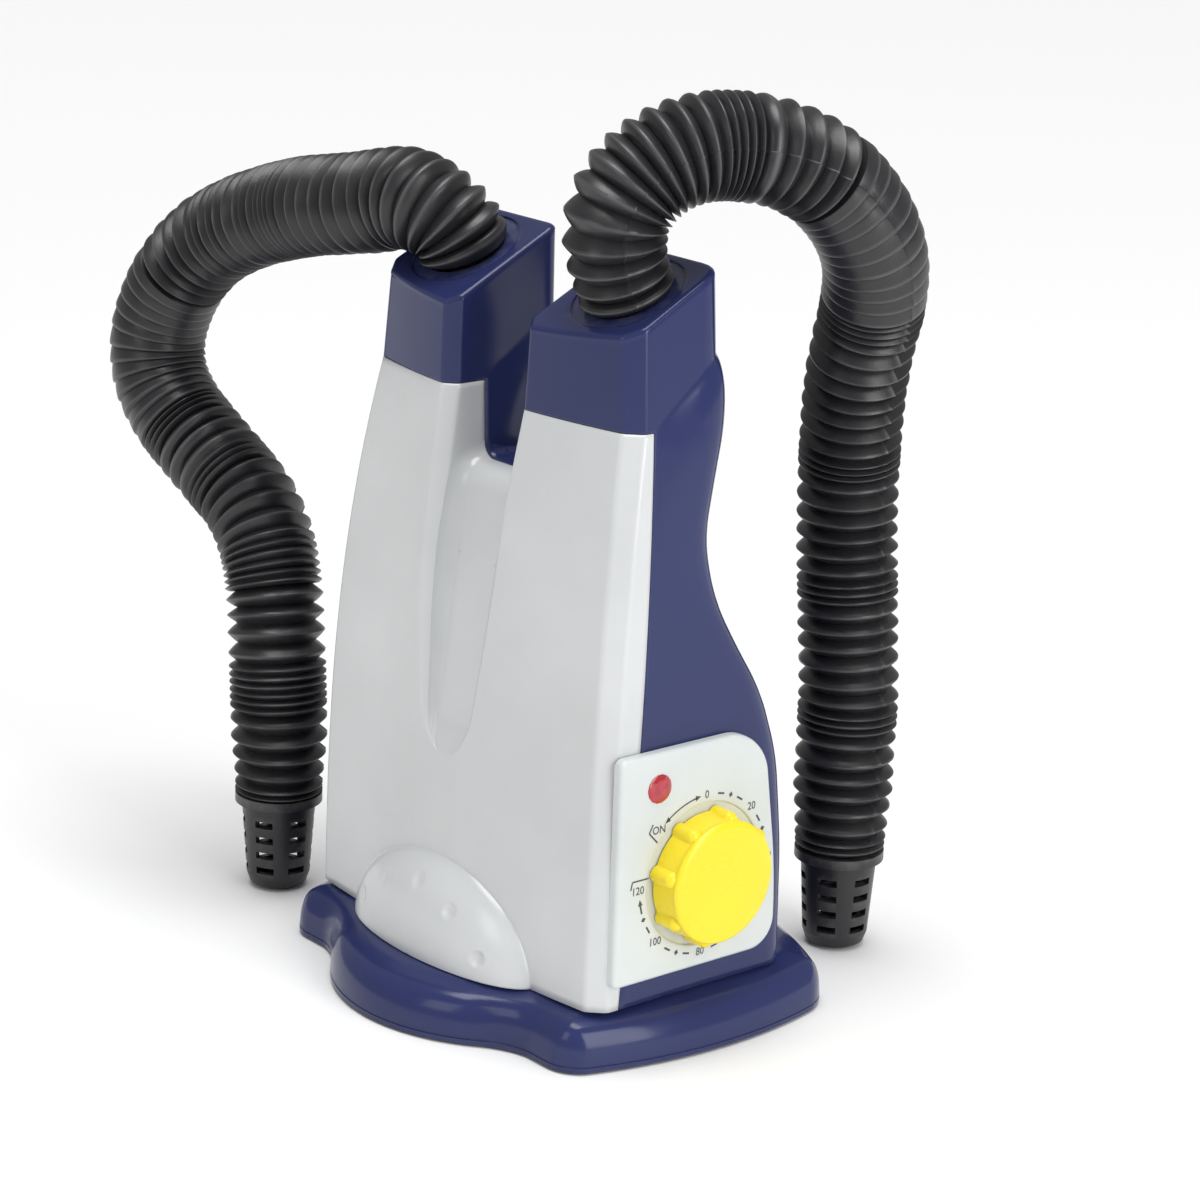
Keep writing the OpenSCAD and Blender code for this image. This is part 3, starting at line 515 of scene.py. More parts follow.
def dome():
    """Egg-shaped dome: half an ellipsoid standing on the deck, with five round dimples pressed in."""
    turn, around = np.meshgrid(np.linspace(0, 1.75, 90), np.linspace(0, math.pi, 220), indexing="ij")
    x = 55 * np.sin(turn) * np.cos(around)
    z = DECK_Z + 39.5 * np.sin(turn) * np.sin(around)
    y = -51 - 19.5 * np.cos(turn)
    for dimple_x, dimple_z in DIMPLES:
        away = ((x - dimple_x) ** 2 + (z - dimple_z) ** 2) / 3.4 ** 2
        y = y + 1.1 * np.clip(1 - away, 0, 1) * (turn < 1.5)
    return patch(stack(x, y, z), (0, -45, 30))


def foot_blend(path):
    """Hollow blend along the foot of the channel and valley walls: an arc of up to 6 mm that touches the
    wall and the floor, carried along the floor's (y, z) path."""
    step = np.gradient(path, axis=0)
    step /= np.linalg.norm(step, axis=1, keepdims=True)
    normal_y, normal_z = -step[:, 1:], step[:, :1]
    y, z = path[:, :1], path[:, 1:]
    depth = channel_floor(z) - front_face(valley_half(z), z)
    radius = np.where(z > VALLEY_Z - 12, 6.0, np.clip(0.62 * depth, 0.05, 6.0))
    radius = np.minimum(radius, 0.9 * valley_half(z) + 0.01)
    turn = -0.04 + (math.pi / 2 + 0.06) * ease(np.linspace(0, 1, 18))
    away = radius * (1 - np.sin(turn))
    x = valley_half(np.minimum(z + normal_z * away, VALLEY_Z)) - radius * (1 - np.cos(turn)) + 0.05
    points = stack(x, y + normal_y * away, z + normal_z * away)
    return patch(points, (60, y[0, 0] + 40, z[0, 0] - 20))


def channel_blend():
    """The front shell's part of the hollow blend: up the channel, over the shelf, back to the seam."""
    _, path, floor_rows = front_rows()
    lowest = int(np.argmax(path[:, 1] > 101.3))
    return foot_blend(path[lowest:floor_rows])


def front_shell():
    """The bowed front sheet and channel blend, mirrored at the middle, with the dimpled dome at the foot."""
    piece("front_shell_white", both(front_sheet(), channel_blend()) + [dome()],
          WHITE, replaces=["front_shell"], wall=WALL, sharp=28)


# ---------- rear shell with the tower caps ----------

def rear_rows():
    """Heights of the body's rows, the (y, z) path of its middle, the tower's heights up to the seam, and
    the shares of the way from the seam to the tilted top."""
    lower = np.linspace(DECK_Z, VALLEY_Z, 90)
    middle_z = lower - 6 * ease((lower - 170) / (VALLEY_Z - 170))
    edge_y = float(rear_face(np.array(VALLEY_Z)))
    over = bezier((float(rear_face(np.array(206.0))), 206), (edge_y, VALLEY_Z), (edge_y - 6, VALLEY_Z), 8)[1:]
    back = stack(np.linspace(edge_y - 8, VALLEY_SEAM_Y + GAP, 10), VALLEY_Z)
    upper = np.linspace(VALLEY_Z, SEAM_Z, 24)[1:]
    cap = np.linspace(0, 1, 44)[1:]
    path = np.concatenate([stack(rear_face(middle_z), middle_z), over, back])
    heights = np.concatenate([lower, np.full(len(path) - len(lower), VALLEY_Z), upper])
    return heights, path, upper, cap


def cap_height(y, share):
    """Height at y of the row that lies share of the way from the seam to the tilted top, less its round."""
    return SEAM_Z + share * (top_plane(y) - TOP_ROUND - SEAM_Z)


TOP_ROUND = 2.2


def tower_ring(share, z=None):
    """Corner points of the tower as two lines: from the side seam round the back to the valley seam, and
    from there along the front. Rows are heights z, or shares of the way from the seam to the tilted top."""
    fixed = z is not None
    share = np.atleast_1d(share)

    def at(x_of, y):
        """Points at depth y, on the row's own height, with x worked out from that height."""
        height = z if fixed else cap_height(y, share)
        return stack(x_of(height), y, height)

    mid = z if fixed else SEAM_Z + 40 * share
    rear = rear_face(mid)
    edge = front_edge(mid)
    side_y = seam_plane(mid) + GAP
    back = [at(half_width, side_y), at(half_width, rear), at(valley_half, rear),
            at(valley_half, VALLEY_SEAM_Y + GAP)]
    lip = valley_half(mid)
    outer_x = half_width(mid) - FACET_X
    inner_y = front_face(lip + CHAMFER, mid)
    slope = 2 * front_bow(mid) / outer_x
    turn_x = (outer_x + lip + CHAMFER) / 2
    turn_y = edge + slope * (turn_x - outer_x)
    front = [at(valley_half, VALLEY_SEAM_Y + GAP), at(valley_half, inner_y + CHAMFER),
             at(lambda h: valley_half(h) + CHAMFER, inner_y),
             at(lambda h: (valley_half(h) + CHAMFER + half_width(h) - FACET_X) / 2, turn_y),
             at(lambda h: half_width(h) - FACET_X, edge),
             at(half_width, edge + FACET_Y), at(half_width, side_y)]
    return np.stack(back, axis=1), np.stack(front, axis=1)


GRILLE_HALF = 36
GRILLE_FOOT = 42
GRILLE_TOP = 94
BEHIND_Y = 30
BACK_CUTS = [11.0, 6.0]
BACK_RUNS = [26, 12, 10]
FRONT_CUTS = [1.3, 1.3, None, 1.6, 1.6]
FRONT_RUNS = [4, 1, 0, 0, 1, 3]


def rear_sheets():
    """The rear shell's right half: the body up to the valley floor, and the tower above it."""
    heights, path, upper, cap = rear_rows()
    rows = len(path)
    z = heights[:rows]
    half = half_width(z)
    lip = valley_half(np.full(rows, VALLEY_Z))
    body = np.stack([
        stack(half, seam_plane(z) + GAP, z),
        stack(half, rear_face(z), z),
        stack(lip, rear_face(z), z),
        stack(lip, path[:, 0], path[:, 1]),
        stack(0 * z, path[:, 0], path[:, 1]),
    ], axis=1)
    lower = rounded(body, BACK_CUTS + [0.0], BACK_RUNS + [8], bend=7)
    centre = (lower[1:, 1:] + lower[:-1, :-1]) / 2
    x, y, height = (centre[..., i] for i in range(3))
    window = (np.abs(x) < GRILLE_HALF) & (height > GRILLE_FOOT) & (height < GRILLE_TOP) & (y > BEHIND_Y)
    tower_z = np.concatenate([[VALLEY_Z], upper])
    low_back, _ = tower_ring(0, tower_z)
    high_back, high_front = tower_ring(np.concatenate([[0.004], cap]))
    tower = rounded(np.concatenate([low_back, high_back[1:]]), BACK_CUTS, BACK_RUNS, bend=7)
    front = rounded(high_front, FRONT_CUTS, FRONT_RUNS, bend=7)
    return flare(lower), ~window, flare(tower), front


def flare(grid):
    """Below a crease that climbs from the colour seam to the rear, the tower swells out from its middle:
    fast at first, then back to nothing 60 mm further down, and not at all at the seam between the shells."""
    x, y, z = (grid[..., i] for i in range(3))
    below = 243 + 0.72 * (y + 22) - z
    amount = 3.4 * (1 - np.exp(-np.maximum(below, 0) / 5)) * (1 - ease((below - 12) / 60))
    amount = amount * np.clip((y + 22) / 20, 0, 1) * (x > 1)
    away = np.stack([x - 48, y + 24], -1)
    away = away / np.maximum(np.linalg.norm(away, axis=-1, keepdims=True), 1e-9)
    grid = grid.copy()
    grid[..., :2] += away * amount[..., None] * ease((z - 170) / 45)[..., None]
    return grid


def outlet_frame():
    """Middle, two directions in the tilted plane, and its normal, of the right outlet."""
    tilt = math.atan(TOP_SLOPE)
    centre = np.array([HOSE_X, HOSE_Y, top_plane(HOSE_Y)])
    along = np.array([0, math.cos(tilt), math.sin(tilt)])
    return centre, np.array([1.0, 0, 0]), along, np.cross([1.0, 0, 0], along)


def without_repeats(ring):
    """The ring without points that lie on the one before them."""
    gap = np.linalg.norm(ring - np.roll(ring, 1, axis=0), axis=1)
    return ring[gap > 0.01]


def tower_top(ring):
    """The tilted top: a rounded edge from the tower's last ring, then a flat that closes in on the round
    recess of the collar, with a fine groove round it."""
    centre, across, along, normal = outlet_frame()
    flat = ring - centre
    a, b = flat @ across, flat @ along
    step_a, step_b = np.roll(a, -1) - a, np.roll(b, -1) - b
    size = np.maximum(np.hypot(step_a, step_b), 1e-9)
    side = np.sign(np.sum(a * step_b - b * step_a))
    out_a, out_b = side * step_b / size, -side * step_a / size
    out_a, out_b = out_a + np.roll(out_a, 1), out_b + np.roll(out_b, 1)
    size = np.maximum(np.hypot(out_a, out_b), 0.5)
    in_a, in_b = -out_a / size, -out_b / size
    turn = np.linspace(0, math.pi / 2, 7)[1:, None]
    inset = TOP_ROUND * (1 - np.cos(turn))
    lift = TOP_ROUND * (np.sin(turn) - 1)
    edge_a, edge_b = a + inset * in_a, b + inset * in_b
    angle = np.arctan2(edge_b[-1], edge_a[-1])
    reach = np.hypot(edge_a[-1], edge_b[-1])
    circle = np.array([[22.7, 0], [22.5, -0.1], [22.2, -0.7], [21.9, -0.8], [21.45, -0.8], [21.45, -3]])
    share = np.linspace(0, 1, 6)[1:-1, None]
    radii = np.concatenate([reach * (1 - share) + circle[0, 0] * share,
                            np.broadcast_to(circle[:, :1], (len(circle), len(angle)))])
    heights = np.concatenate([0 * share, circle[:, 1:]])
    all_a = np.concatenate([edge_a, radii * np.cos(angle)])
    all_b = np.concatenate([edge_b, radii * np.sin(angle)])
    all_h = np.concatenate([lift, heights])
    points = centre + all_a[..., None] * across + all_b[..., None] * along + all_h[..., None] * normal
    return patch(np.concatenate([ring[None], points]), centre - 40 * normal, loop=True)


def rear_shell():
    """Body, tower back and front, tilted top and valley blend of the right half, and their mirror images."""
    lower, keep, tower, front = rear_sheets()
    ring = without_repeats(np.concatenate([tower[-1], front[-1, 1:-1]]))
    valley_foot = stack(np.linspace(VALLEY_SEAM_Y + GAP, 5, 9), VALLEY_Z)
    parts = [patch(lower, (0, -60, 110), keep=keep), patch(tower, (HOSE_X - 1, -10, 250)),
             patch(front, (HOSE_X - 1, 0, 270)), tower_top(ring), foot_blend(valley_foot)]
    piece("rear_shell_blue", both(*parts), BLUE, replaces=["rear_shell"], wall=WALL, sharp=28)


# ---------- plinth ----------

def joined(a, b, radius):
    """Union of two outlines given by their distances, the hollow corner rounded."""
    reach = np.hypot(np.maximum(radius - a, 0), np.maximum(radius - b, 0))
    return np.maximum(radius, np.minimum(a, b)) - reach


def common(a, b, radius):
    """What two outlines share, the outer corner rounded."""
    reach = np.hypot(np.maximum(a + radius, 0), np.maximum(b + radius, 0))
    return np.minimum(-radius, np.maximum(a, b)) + reach


def plinth_distance(x, y):
    """Distance outside the plinth's outline: bulging sides and back, straight ears, round front lobe."""
    bulge = 190.0
    side = np.hypot(np.abs(x) + bulge - 103, y - 10) - bulge
    back = np.hypot(x, y - 90.5 + bulge) - bulge
    ears = -63 - y
    body = common(common(side, back, 7.0), ears, 9.0)
    lobe = np.hypot(x, y - 72 + 90.5) - 72
    return joined(body, lobe, 9.0)


def plinth_outline(inset, count=480):
    """The outline drawn in by inset: along each ray from the middle, where the distance is -inset."""
    angle = np.linspace(0, 2 * math.pi, count, endpoint=False)
    near, far = np.zeros((len(inset), count)), np.full((len(inset), count), 140.0)
    for _ in range(30):
        half = (near + far) / 2
        outside = plinth_distance(half * np.cos(angle), half * np.sin(angle)) > -inset[:, None]
        near, far = np.where(outside, near, half), np.where(outside, half, far)
    return near * np.cos(angle), near * np.sin(angle)


def plinth():
    """Rim, fine line above it, leaning side, tight round shoulder, and a sloping band up to the shells."""
    rim = [[0.8, 2.4], [0.8, 0.5], [1.3, 0.0], [2.9, 0.0], [3.1, 0.35], [3.5, 0.35], [3.7, 0.0], [4.2, 0.05]]
    side = bezier((5.0, 0.15), (12.0, 0.6), (15.6, 3.2), 12)
    shoulder = bezier((15.6, 3.2), (18.4, 5.2), (19.5, 8.8), 10)[1:]
    band = [[20.2, 11.2], [20.9, 13.6], [21.4, 15.2], [21.5, 17.5], [21.6, 24.0], [21.7, 45.0], [21.7, 72.0]]
    profile = np.concatenate([rim, side, shoulder, band])
    x, y = plinth_outline(profile[:, 1])
    sheet = patch(stack(x, y, profile[:, :1]), (0, 0, 0), loop=True)
    piece("plinth_blue", [sheet], BLUE, replaces=["base_cover"], wall=2.2, sharp=40)


# ---------- control panel ----------

def panel_distance(y, z):
    """Distance outside the panel's outline: straight front and top edges, rear edge in two slants."""
    front = -44 - y
    low = 32 - z
    high = z - 123
    rear = y - 37.6
    slant = ((y - 37.6) * 50 + (z - 61) * 7.6) / math.hypot(50, 7.6)
    lower_rear = common(rear, low, 12.0)
    upper_rear = common(slant, high, 18.0)
    return common(common(lower_rear, upper_rear, 3.0), front, 3.0)


def panel_rays(inset, count=360):
    """The outline drawn in by inset, along rays from the dial's middle."""
    angle = np.linspace(0, 2 * math.pi, count, endpoint=False)
    near, far = np.zeros((len(inset), count)), np.full((len(inset), count), 90.0)
    for _ in range(30):
        half = (near + far) / 2
        y, z = DIAL_Y + half * np.sin(angle), DIAL_Z + half * np.cos(angle)
        outside = panel_distance(y, z) > -inset[:, None]
        near, far = np.where(outside, near, half), np.where(outside, half, far)
    return near, angle


def control_panel():
    """Raised plate: soft edge all round, flat face, and a shallow round recess under the knob."""
    turn = np.linspace(0, math.pi / 2, 8)
    edge_round = 1.9
    inset = np.concatenate([[0.0], edge_round * (1 - np.cos(turn))])
    height = np.concatenate([[-4.2], edge_round * (np.sin(turn) - 1)])
    reach, angle = panel_rays(inset)
    share = np.linspace(0, 1, 8)[1:-1, None]
    well = np.array([[29.2, 0], [28.9, -0.06], [28.6, -0.3], [28.5, -0.9], [28.2, -1.1], [6, -1.1]])
    radii = np.concatenate([reach, reach[-1] * (1 - share) + 29.2 * share,
                            np.broadcast_to(well[:, :1], (len(well), len(angle)))])
    heights = np.concatenate([height[:, None], 0 * share, well[:, 1:]])
    points = stack(PANEL_X + heights, DIAL_Y + radii * np.sin(angle), DIAL_Z + radii * np.cos(angle))
    piece("control_panel_white", [patch(points, (PANEL_X - 30, DIAL_Y, DIAL_Z), loop=True)], PANEL_WHITE,
          replaces=["control_panel"], sharp=30)


# ---------- dial print ----------

PRINT_X = PANEL_X + 0.06


def on_panel(right, up):
    """Points of the print, given to the right of and above the dial's middle."""
    return stack(PRINT_X, DIAL_Y + np.asarray(right, float), DIAL_Z + np.asarray(up, float))


def strip(radius, start, end, width, count=2):
    """A band along the mark circle from start to end, in degrees clockwise from the top."""
    angle, r = np.meshgrid(np.radians(np.linspace(start, end, count)),
                           [radius - width / 2, radius + width / 2], indexing="ij")
    return patch(on_panel(r * np.sin(angle), r * np.cos(angle)), (0, DIAL_Y, DIAL_Z))


def turned_shape(outline, angle, radius):
    """A four-cornered mark with its own middle on the mark circle, turned to follow the circle."""
    turn = math.radians(angle)
    outline = np.asarray(outline, float)
    right = radius * math.sin(turn) + outline[:, 0] * math.cos(turn) + outline[:, 1] * math.sin(turn)
    up = radius * math.cos(turn) - outline[:, 0] * math.sin(turn) + outline[:, 1] * math.cos(turn)
    points = on_panel(right, up).reshape(2, 2, 3)
    return patch(points, (0, DIAL_Y, DIAL_Z))


MARK_R = 31.8
LINE = 0.8


def marks():
    """Diamonds half way between the numbers, dashes beside them, arrows and brackets."""
    diamond = [(-1.0, 0), (0, 1.25), (0, -1.25), (1.0, 0)]
    arrow = [(-1.7, 0.0), (0.9, 1.15), (0.9, -1.15), (0.9, 0.0)]
    back_arrow = [(1.7, 0.0), (-0.9, 1.15), (-0.9, -1.15), (-0.9, 0.0)]
    found = []
    for step in range(6):
        middle = 22.5 + 45 * step
        found.append(turned_shape(diamond, middle, MARK_R))
        found.append(strip(MARK_R, middle - 12.5, middle - 6.5, LINE))
        if step < 5:
            found.append(strip(MARK_R, middle + 6.5, middle + 12.5, LINE))
    found.append(strip(MARK_R, 252.5, 259, LINE, 4))
    found.append(turned_shape(back_arrow, 260.5, MARK_R))
    found.append(strip(MARK_R, 323.5, 350.5, LINE * 0.75, 16))
    found.append(turned_shape(arrow, 323, MARK_R))
    found.append(turned_shape(back_arrow, 351.5, MARK_R))
    return found


def bracket(corner, ends):
    """Two bars that meet at a corner, right and up of the dial's middle."""
    bars = []
    for end in ends:
        way = np.subtract(end, corner)
        side = np.array([-way[1], way[0]]) / np.linalg.norm(way) * LINE * 0.4
        quad = np.array([np.add(corner, side), np.subtract(corner, side), np.add(end, side),
                         np.subtract(end, side)])
        bars.append(patch(on_panel(quad[:, 0], quad[:, 1]).reshape(2, 2, 3), (0, DIAL_Y, DIAL_Z)))
    return bars


def word(text, right, up, size=4.5):
    """A number or word as a flat mesh, its middle right of and above the dial's middle."""
    curve = bpy.data.curves.new("word", "FONT")
    curve.body = text
    curve.size = size
    curve.align_x = "CENTER"
    curve.align_y = "CENTER"
    curve.resolution_u = 3
    curve.offset = 0.05
    obj = bpy.data.objects.new("word", curve)
    bpy.context.scene.collection.objects.link(obj)
    mesh = bpy.data.meshes.new_from_object(obj.evaluated_get(bpy.context.evaluated_depsgraph_get()))
    bpy.data.objects.remove(obj)
    flat = np.zeros(len(mesh.vertices) * 3)
    mesh.vertices.foreach_get("co", flat)
    flat = flat.reshape(-1, 3)
    mesh.calc_loop_triangles()
    triangles = np.zeros(len(mesh.loop_triangles) * 3, int)
    mesh.loop_triangles.foreach_get("vertices", triangles)
    triangles = triangles.reshape(-1, 3)
    quads = np.concatenate([triangles, triangles[:, 2:]], axis=1)
    return on_panel(right + flat[:, 0] * 0.92, up + flat[:, 1]), quads


def dial_print():
    """All printing round the knob: numbers 0 to 120, the word ON, marks and brackets."""
    parts = marks()
    for i, text in enumerate(["0", "20", "40", "60", "80", "100", "120"]):
        turn = math.radians(45 * i)
        parts.append(word(text, MARK_R * math.sin(turn) * 1.03, MARK_R * math.cos(turn)))
    on = math.radians(315)
    parts.append(word("ON", MARK_R * math.sin(on) * 1.04, MARK_R * math.cos(on)))
    parts += bracket((-35.6, 4.2), [(-27.6, 4.2), (-36.3, 1.0)])
    parts += bracket((-28.2, 22.0), [(-24.0, 17.6), (-26.5, 25.3)])
    faces = [(p, f[:, :3] if f.shape[1] == 4 and np.all(f[:, 2] == f[:, 3]) else f) for p, f in parts]
    starts = np.cumsum([0] + [len(p) for p, _ in faces])
    polygons = [tuple(row) for (_, f), s in zip(faces, starts) for row in (f + s).tolist()]
    mesh = bpy.data.meshes.new("dial_print")
    mesh.from_pydata((np.concatenate([p for p, _ in faces]) * MM).tolist(), [], polygons)
    mesh.materials.append(INK)
    obj = bpy.data.objects.new("dial_print", mesh)
    bpy.context.scene.collection.objects.link(obj)
    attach(obj, "casing")


# ---------- knob and lamp ----------

KNOB_RIBS = 8
RIB_TURN = 12.0


def knob():
    """Turned skirt with eight half-round grips, and a softly domed face with a stepped edge."""
    turn = np.linspace(0, 2 * math.pi, 360, endpoint=False)
    profile = np.array([[20, -0.6], [24.6, -0.6], [24.9, -0.3], [24.8, 1], [24.6, 3], [24.4, 5], [24.2, 7],
                        [24.05, 8], [23.95, 8.8], [23.9, 9.4], [23.9, 9.9], [24.1, 10.3], [24.35, 10.7],
                        [24.4, 11.1], [24.3, 11.5], [24.0, 12.0], [23.4, 12.4], [22.4, 12.75], [21, 13.0],
                        [19.8, 13.1], [18.8, 13.2], [18, 13.35], [15, 13.55], [10, 13.75], [5, 13.85],
                        [0, 13.9]])
    count = 4
    steps = np.linspace(0, len(profile) - 1, (len(profile) - 1) * count + 1)
    r0 = np.interp(steps, np.arange(len(profile)), profile[:, 0])[:, None]
    h = np.interp(steps, np.arange(len(profile)), profile[:, 1])[:, None]
    rib = 3.3 * np.sqrt(np.clip(1 - np.clip((h - 7.4) / 3.3, 0, 1) ** 2, 0, 1)) * (h < 10.7)
    spacing = 2 * math.pi / KNOB_RIBS
    off = (turn - math.radians(RIB_TURN) + spacing / 2) % spacing - spacing / 2
    centre_r = 23.6
    reach = rib ** 2 - (centre_r * np.sin(off)) ** 2
    grip = np.where(reach > 0, centre_r * np.cos(off) + np.sqrt(np.maximum(reach, 0)), 0)
    r = np.where(r0 > 22, np.maximum(r0, grip), r0 * np.ones_like(turn))
    points = stack(PANEL_X + h, DIAL_Y + r * np.sin(turn), DIAL_Z + r * np.cos(turn))
    piece("knob_yellow", [patch(points, (PANEL_X, DIAL_Y, DIAL_Z), loop=True)], YELLOW,
          body="timer_knob", replaces=["knob"], sharp=40)


def lamp():
    """Lamp lens cut into facets: rings of flats, each ring turned half a step."""
    count = 14
    rings = [(5.72, -1.5, 0), (5.72, 0.25, 0), (5.2, 0.75, 0.5), (3.7, 1.15, 0), (2.0, 1.3, 0.5),
             (0, 1.35, 0)]
    turn = np.arange(count)[None] * 2 * math.pi / count
    r, h, shift = (np.array([ring[i] for ring in rings])[:, None] for i in range(3))
    angle = turn + shift * 2 * math.pi / count
    points = stack(PANEL_X + h, LAMP_Y + r * np.cos(angle), LAMP_Z + r * np.sin(angle))
    obj = piece("lamp_lens_red", [patch(points, (PANEL_X - 2, LAMP_Y, LAMP_Z), loop=True)], RED,
                replaces=["lamp_lens"], sharp=5)
    obj.data.polygons.foreach_set("use_smooth", np.zeros(len(obj.data.polygons), bool))


# ---------- hoses ----------

HOSE_R = 18.5
CREST_R = 20.5
TURN_SPAN = 9
ROUTE_RIGHT = [(49, -12, 287), (49, -18, 301), (50, -20, 316), (53, -14, 329), (58, -3, 338), (63, 12, 342),
               (69, 29, 341), (74, 46, 336), (77, 63, 326), (79, 77, 311), (76, 88, 294), (69, 95, 276),
               (61, 99, 258), (54, 103, 239), (49, 107, 219), (46, 110, 198), (45, 112, 176), (46, 113, 154),
               (47, 114, 132), (48, 115, 110), (48, 115, 88), (48, 115, 66), (48, 115, 42)]
ROUTE_LEFT = [(-49, -12, 287), (-50, -16, 296), (-60, -22, 303), (-74, -23, 304), (-91, -25, 300),
              (-110, -26, 296), (-130, -26, 292), (-149, -26, 287), (-168, -26, 281), (-186, -26, 274),
              (-203, -27, 265), (-217, -29, 253), (-228, -31, 238), (-234, -33, 220), (-231, -34, 203),
              (-220, -33, 189), (-204, -31, 178), (-187, -30, 169), (-170, -29, 159), (-155, -31, 146),
              (-146, -33, 127), (-141, -35, 106), (-138, -36, 84), (-137, -36, 62), (-137, -36, 42)]
# Kinds of fold: pitch, depth, roundness (1 is a sharp V) and where the crest lies between the two valleys
FOLD_KINDS = {"open": (7.7, 4.6, 1.1, 0.5), "fan": (5.8, 4.2, 1.25, 0.5), "round": (8.0, 4.2, 1.5, 0.52),
              "closed": (3.2, 2.4, 1.1, 0.5), "flat": (6.4, 1.0, 1.3, 0.85), "seat": (5.0, 2.2, 1.4, 0.6)}
# The folds of each hose from its collar down, as the bends open and close them; the last runs repeat
FOLDS_RIGHT = [("seat", 1), ("open", 4), ("fan", 7), ("closed", 5), ("round", 1), ("open", 4), ("flat", 10),
               ("closed", 3), ("open", 8), ("closed", 3), ("open", 6)]
FOLDS_LEFT = [("seat", 1), ("fan", 6), ("open", 8), ("closed", 4), ("open", 1), ("closed", 1), ("open", 3),
              ("closed", 1), ("open", 1), ("closed", 1), ("open", 5), ("flat", 12), ("closed", 3),
              ("round", 3), ("closed", 3), ("open", 4), ("closed", 6)]


def smooth_route(route, count=2400):
    """A curve through the route's points (Catmull-Rom), with points at even steps and its length."""
    p = np.array(route, float)
    p = np.concatenate([[2 * p[0] - p[1]], p, [2 * p[-1] - p[-2]]])
    t = np.linspace(0, 1, 40, endpoint=False)[:, None]
    spans = []
    for a, b, c, d in zip(p[:-3], p[1:-2], p[2:-1], p[3:]):
        spans.append(0.5 * (2 * b + (c - a) * t + (2 * a - 5 * b + 4 * c - d) * t ** 2
                            + (3 * b - a - 3 * c + d) * t ** 3))
    line = np.concatenate(spans + [p[-2:-1]])
    along = np.concatenate([[0], np.cumsum(np.linalg.norm(np.diff(line, axis=0), axis=1))])
    even = np.linspace(0, along[-1], count)
    line = np.stack([np.interp(even, along, line[:, i]) for i in range(3)], 1)
    return line, along[-1]


def folds(length, runs, seed):
    """Fold by fold from the collar: where each starts, and its kind's four values, a little uneven."""
    draw = np.random.default_rng(seed)
    kinds = [kind for kind, count in runs for _ in range(count)]
    again = [kind for kind, count in runs[-2:] for _ in range(count)]
    start, rows = 0.0, []
    while start < length - 2:
        kind = kinds[len(rows)] if len(rows) < len(kinds) else again[(len(rows) - len(kinds)) % len(again)]
        pitch, depth, power, crest = FOLD_KINDS[kind]
        pitch = min(pitch * draw.uniform(0.9, 1.1), length - start)
        rows.append((start, pitch, depth * draw.uniform(0.9, 1.08), power, crest + draw.uniform(-0.05, 0.05)))
        start += pitch
    return np.array(rows)


def along_line(line, length, place):
    """Points of the line at the given distances from its start."""
    even = np.linspace(0, length, len(line))
    place = np.clip(place, 0, length)
    return np.stack([np.interp(place, even, line[:, i]) for i in range(3)], 1)


def bellows(name, route, runs, seed, seam, node):
    """A profile carried along the route: radius by the fold at that place, on rings square to the route."""
    line, length = smooth_route(route)
    rows = folds(length, runs, seed)
    fold, phase = np.meshgrid(np.arange(len(rows)), np.linspace(0, 1, 12, endpoint=False), indexing="ij")
    start, pitch, depth, power, crest = (rows[:, i][fold].reshape(-1) for i in range(5))
    phase = phase.reshape(-1)
    place = start + phase * pitch
    climb = np.where(phase < crest, phase / crest, (1 - phase) / (1 - crest))
    height = (1 - (1 - climb) ** power) ** (1 / power)
    ends = np.minimum(ease(place / 45), ease((length - place) / 30))
    radius = HOSE_R + (CREST_R - HOSE_R) * ends - depth * (1 - height)
    centre = along_line(line, length, place)
    tangent = along_line(line, length, place + TURN_SPAN) - along_line(line, length, place - TURN_SPAN)
    tangent /= np.linalg.norm(tangent, axis=1, keepdims=True)
    side = np.zeros_like(tangent)
    side[0] = np.cross(tangent[0], [1.0, 0, 0])
    side[0] /= np.linalg.norm(side[0])
    for i in range(1, len(side)):
        side[i] = side[i - 1] - tangent[i] * (side[i - 1] @ tangent[i])
        side[i] /= np.linalg.norm(side[i])
    other = np.cross(tangent, side)
    turn = np.concatenate([np.linspace(0.03, 2 * math.pi - 0.03, 60), [2 * math.pi - 0.012, 2 * math.pi]])
    ridge = 0.35 * np.exp(-((np.minimum(turn, 2 * math.pi - turn)) / 0.012) ** 2)
    angle = turn + math.radians(seam)
    r = radius[:, None] + ridge
    points = (centre[:, None] + r[..., None] * (np.cos(angle)[None, :, None] * side[:, None]
                                                + np.sin(angle)[None, :, None] * other[:, None]))
    obj = piece(name, [patch_along(points, centre)], BELLOWS, replaces=[node], sharp=50,
                merge=0.0001)
    # The crest attribute, 0 in the valleys and 1 on the crests, drives the painted highlight along the fold
    # crests.
    shade = obj.data.attributes.new("crest", "FLOAT", "POINT")
    shade.data.foreach_set("value", np.repeat(height, len(turn)).astype(np.float32))
    return obj


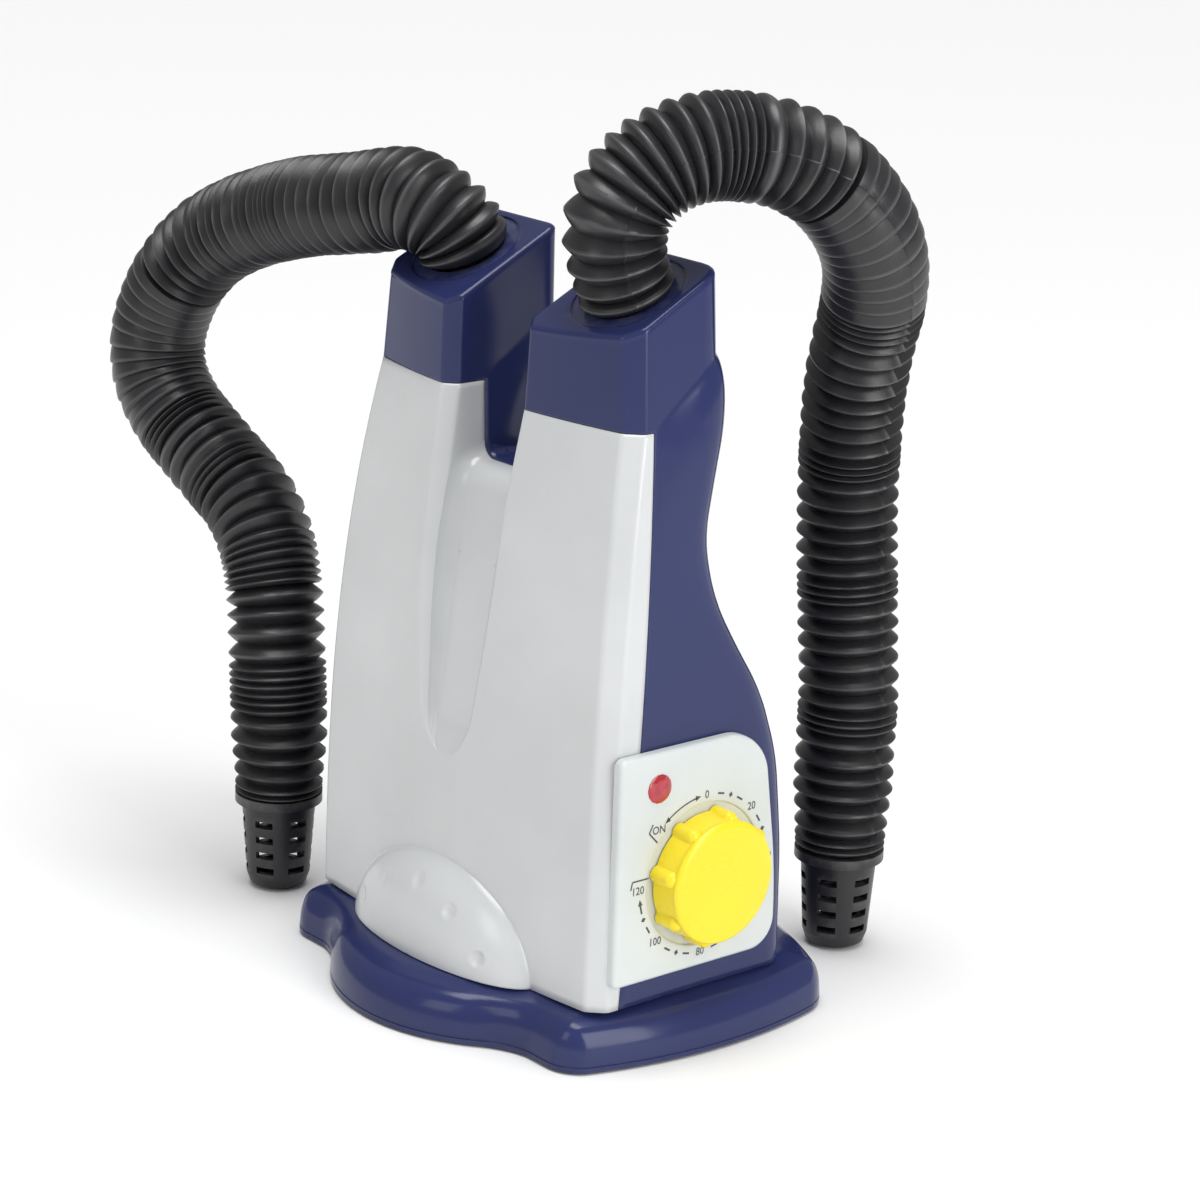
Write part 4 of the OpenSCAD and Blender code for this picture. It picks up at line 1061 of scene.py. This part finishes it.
def patch_along(points, centre):
    """A tube's grid with faces that point away from its own middle line."""
    rows, columns = points.shape[:2]
    faces = cells(rows, columns, loop=True)
    flat = points.reshape(-1, 3)
    quad = flat[faces]
    normal = np.cross(quad[:, 2] - quad[:, 0], quad[:, 3] - quad[:, 1])
    outwards = quad.mean(axis=1) - centre[faces[:, 0] // columns]
    if np.sum(normal * outwards) < 0:
        faces = faces[:, ::-1]
    return flat, faces


# ---------- building ----------

bellows("hose_right_bellows", ROUTE_RIGHT, FOLDS_RIGHT, 11, 240, "hose_right")
bellows("hose_left_bellows", ROUTE_LEFT, FOLDS_LEFT, 7, 60, "hose_left")
front_shell()
rear_shell()
plinth()
control_panel()
dial_print()
knob()
lamp()


# ---------- floor and light ----------

def studio():
    """Pale floor and soft light: white world, wide sun overhead, key light from the right, fill in front."""
    mesh = bpy.data.meshes.new("floor")
    reach = 6.0
    mesh.from_pydata([(-reach, -reach, 0), (reach, -reach, 0), (reach, reach, 0), (-reach, reach, 0)], [],
                     [(0, 1, 2, 3)])
    material, _, out = shader("pale_floor")
    out.inputs["Base Color"].default_value = (0.92, 0.92, 0.92, 1)
    out.inputs["Roughness"].default_value = 0.6
    mesh.materials.append(material)
    floor = bpy.data.objects.new("floor", mesh)
    bpy.context.scene.collection.objects.link(floor)
    world = bpy.data.worlds.new("studio")
    world.use_nodes = True
    world.node_tree.nodes["Background"].inputs["Color"].default_value = (1, 1, 1, 1)
    world.node_tree.nodes["Background"].inputs["Strength"].default_value = 0.37
    bpy.context.scene.world = world
    bpy.context.scene.view_settings.view_transform = "Standard"
    overhead = bpy.data.lights.new("overhead", "SUN")
    overhead.energy = 2.2
    overhead.angle = math.radians(40)
    bpy.context.scene.collection.objects.link(bpy.data.objects.new("overhead", overhead))
    for name, place, aim, size, power in (
            ("key", (1.9, 0.1, 0.9), (0, 0, 0.15), (0.9, 1.6), 20),
            ("front", (0.2, -2.3, 1.3), (0, 0, 0.15), (0.9, 1.2), 6)):
        data = bpy.data.lights.new(name, "AREA")
        data.shape = "RECTANGLE"
        data.size, data.size_y = size
        data.energy = power
        light = bpy.data.objects.new(name, data)
        bpy.context.scene.collection.objects.link(light)
        light.location = place
        way = np.subtract(aim, place)
        light.rotation_euler = Vector(way).to_track_quat("-Z", "Y").to_euler()


studio()
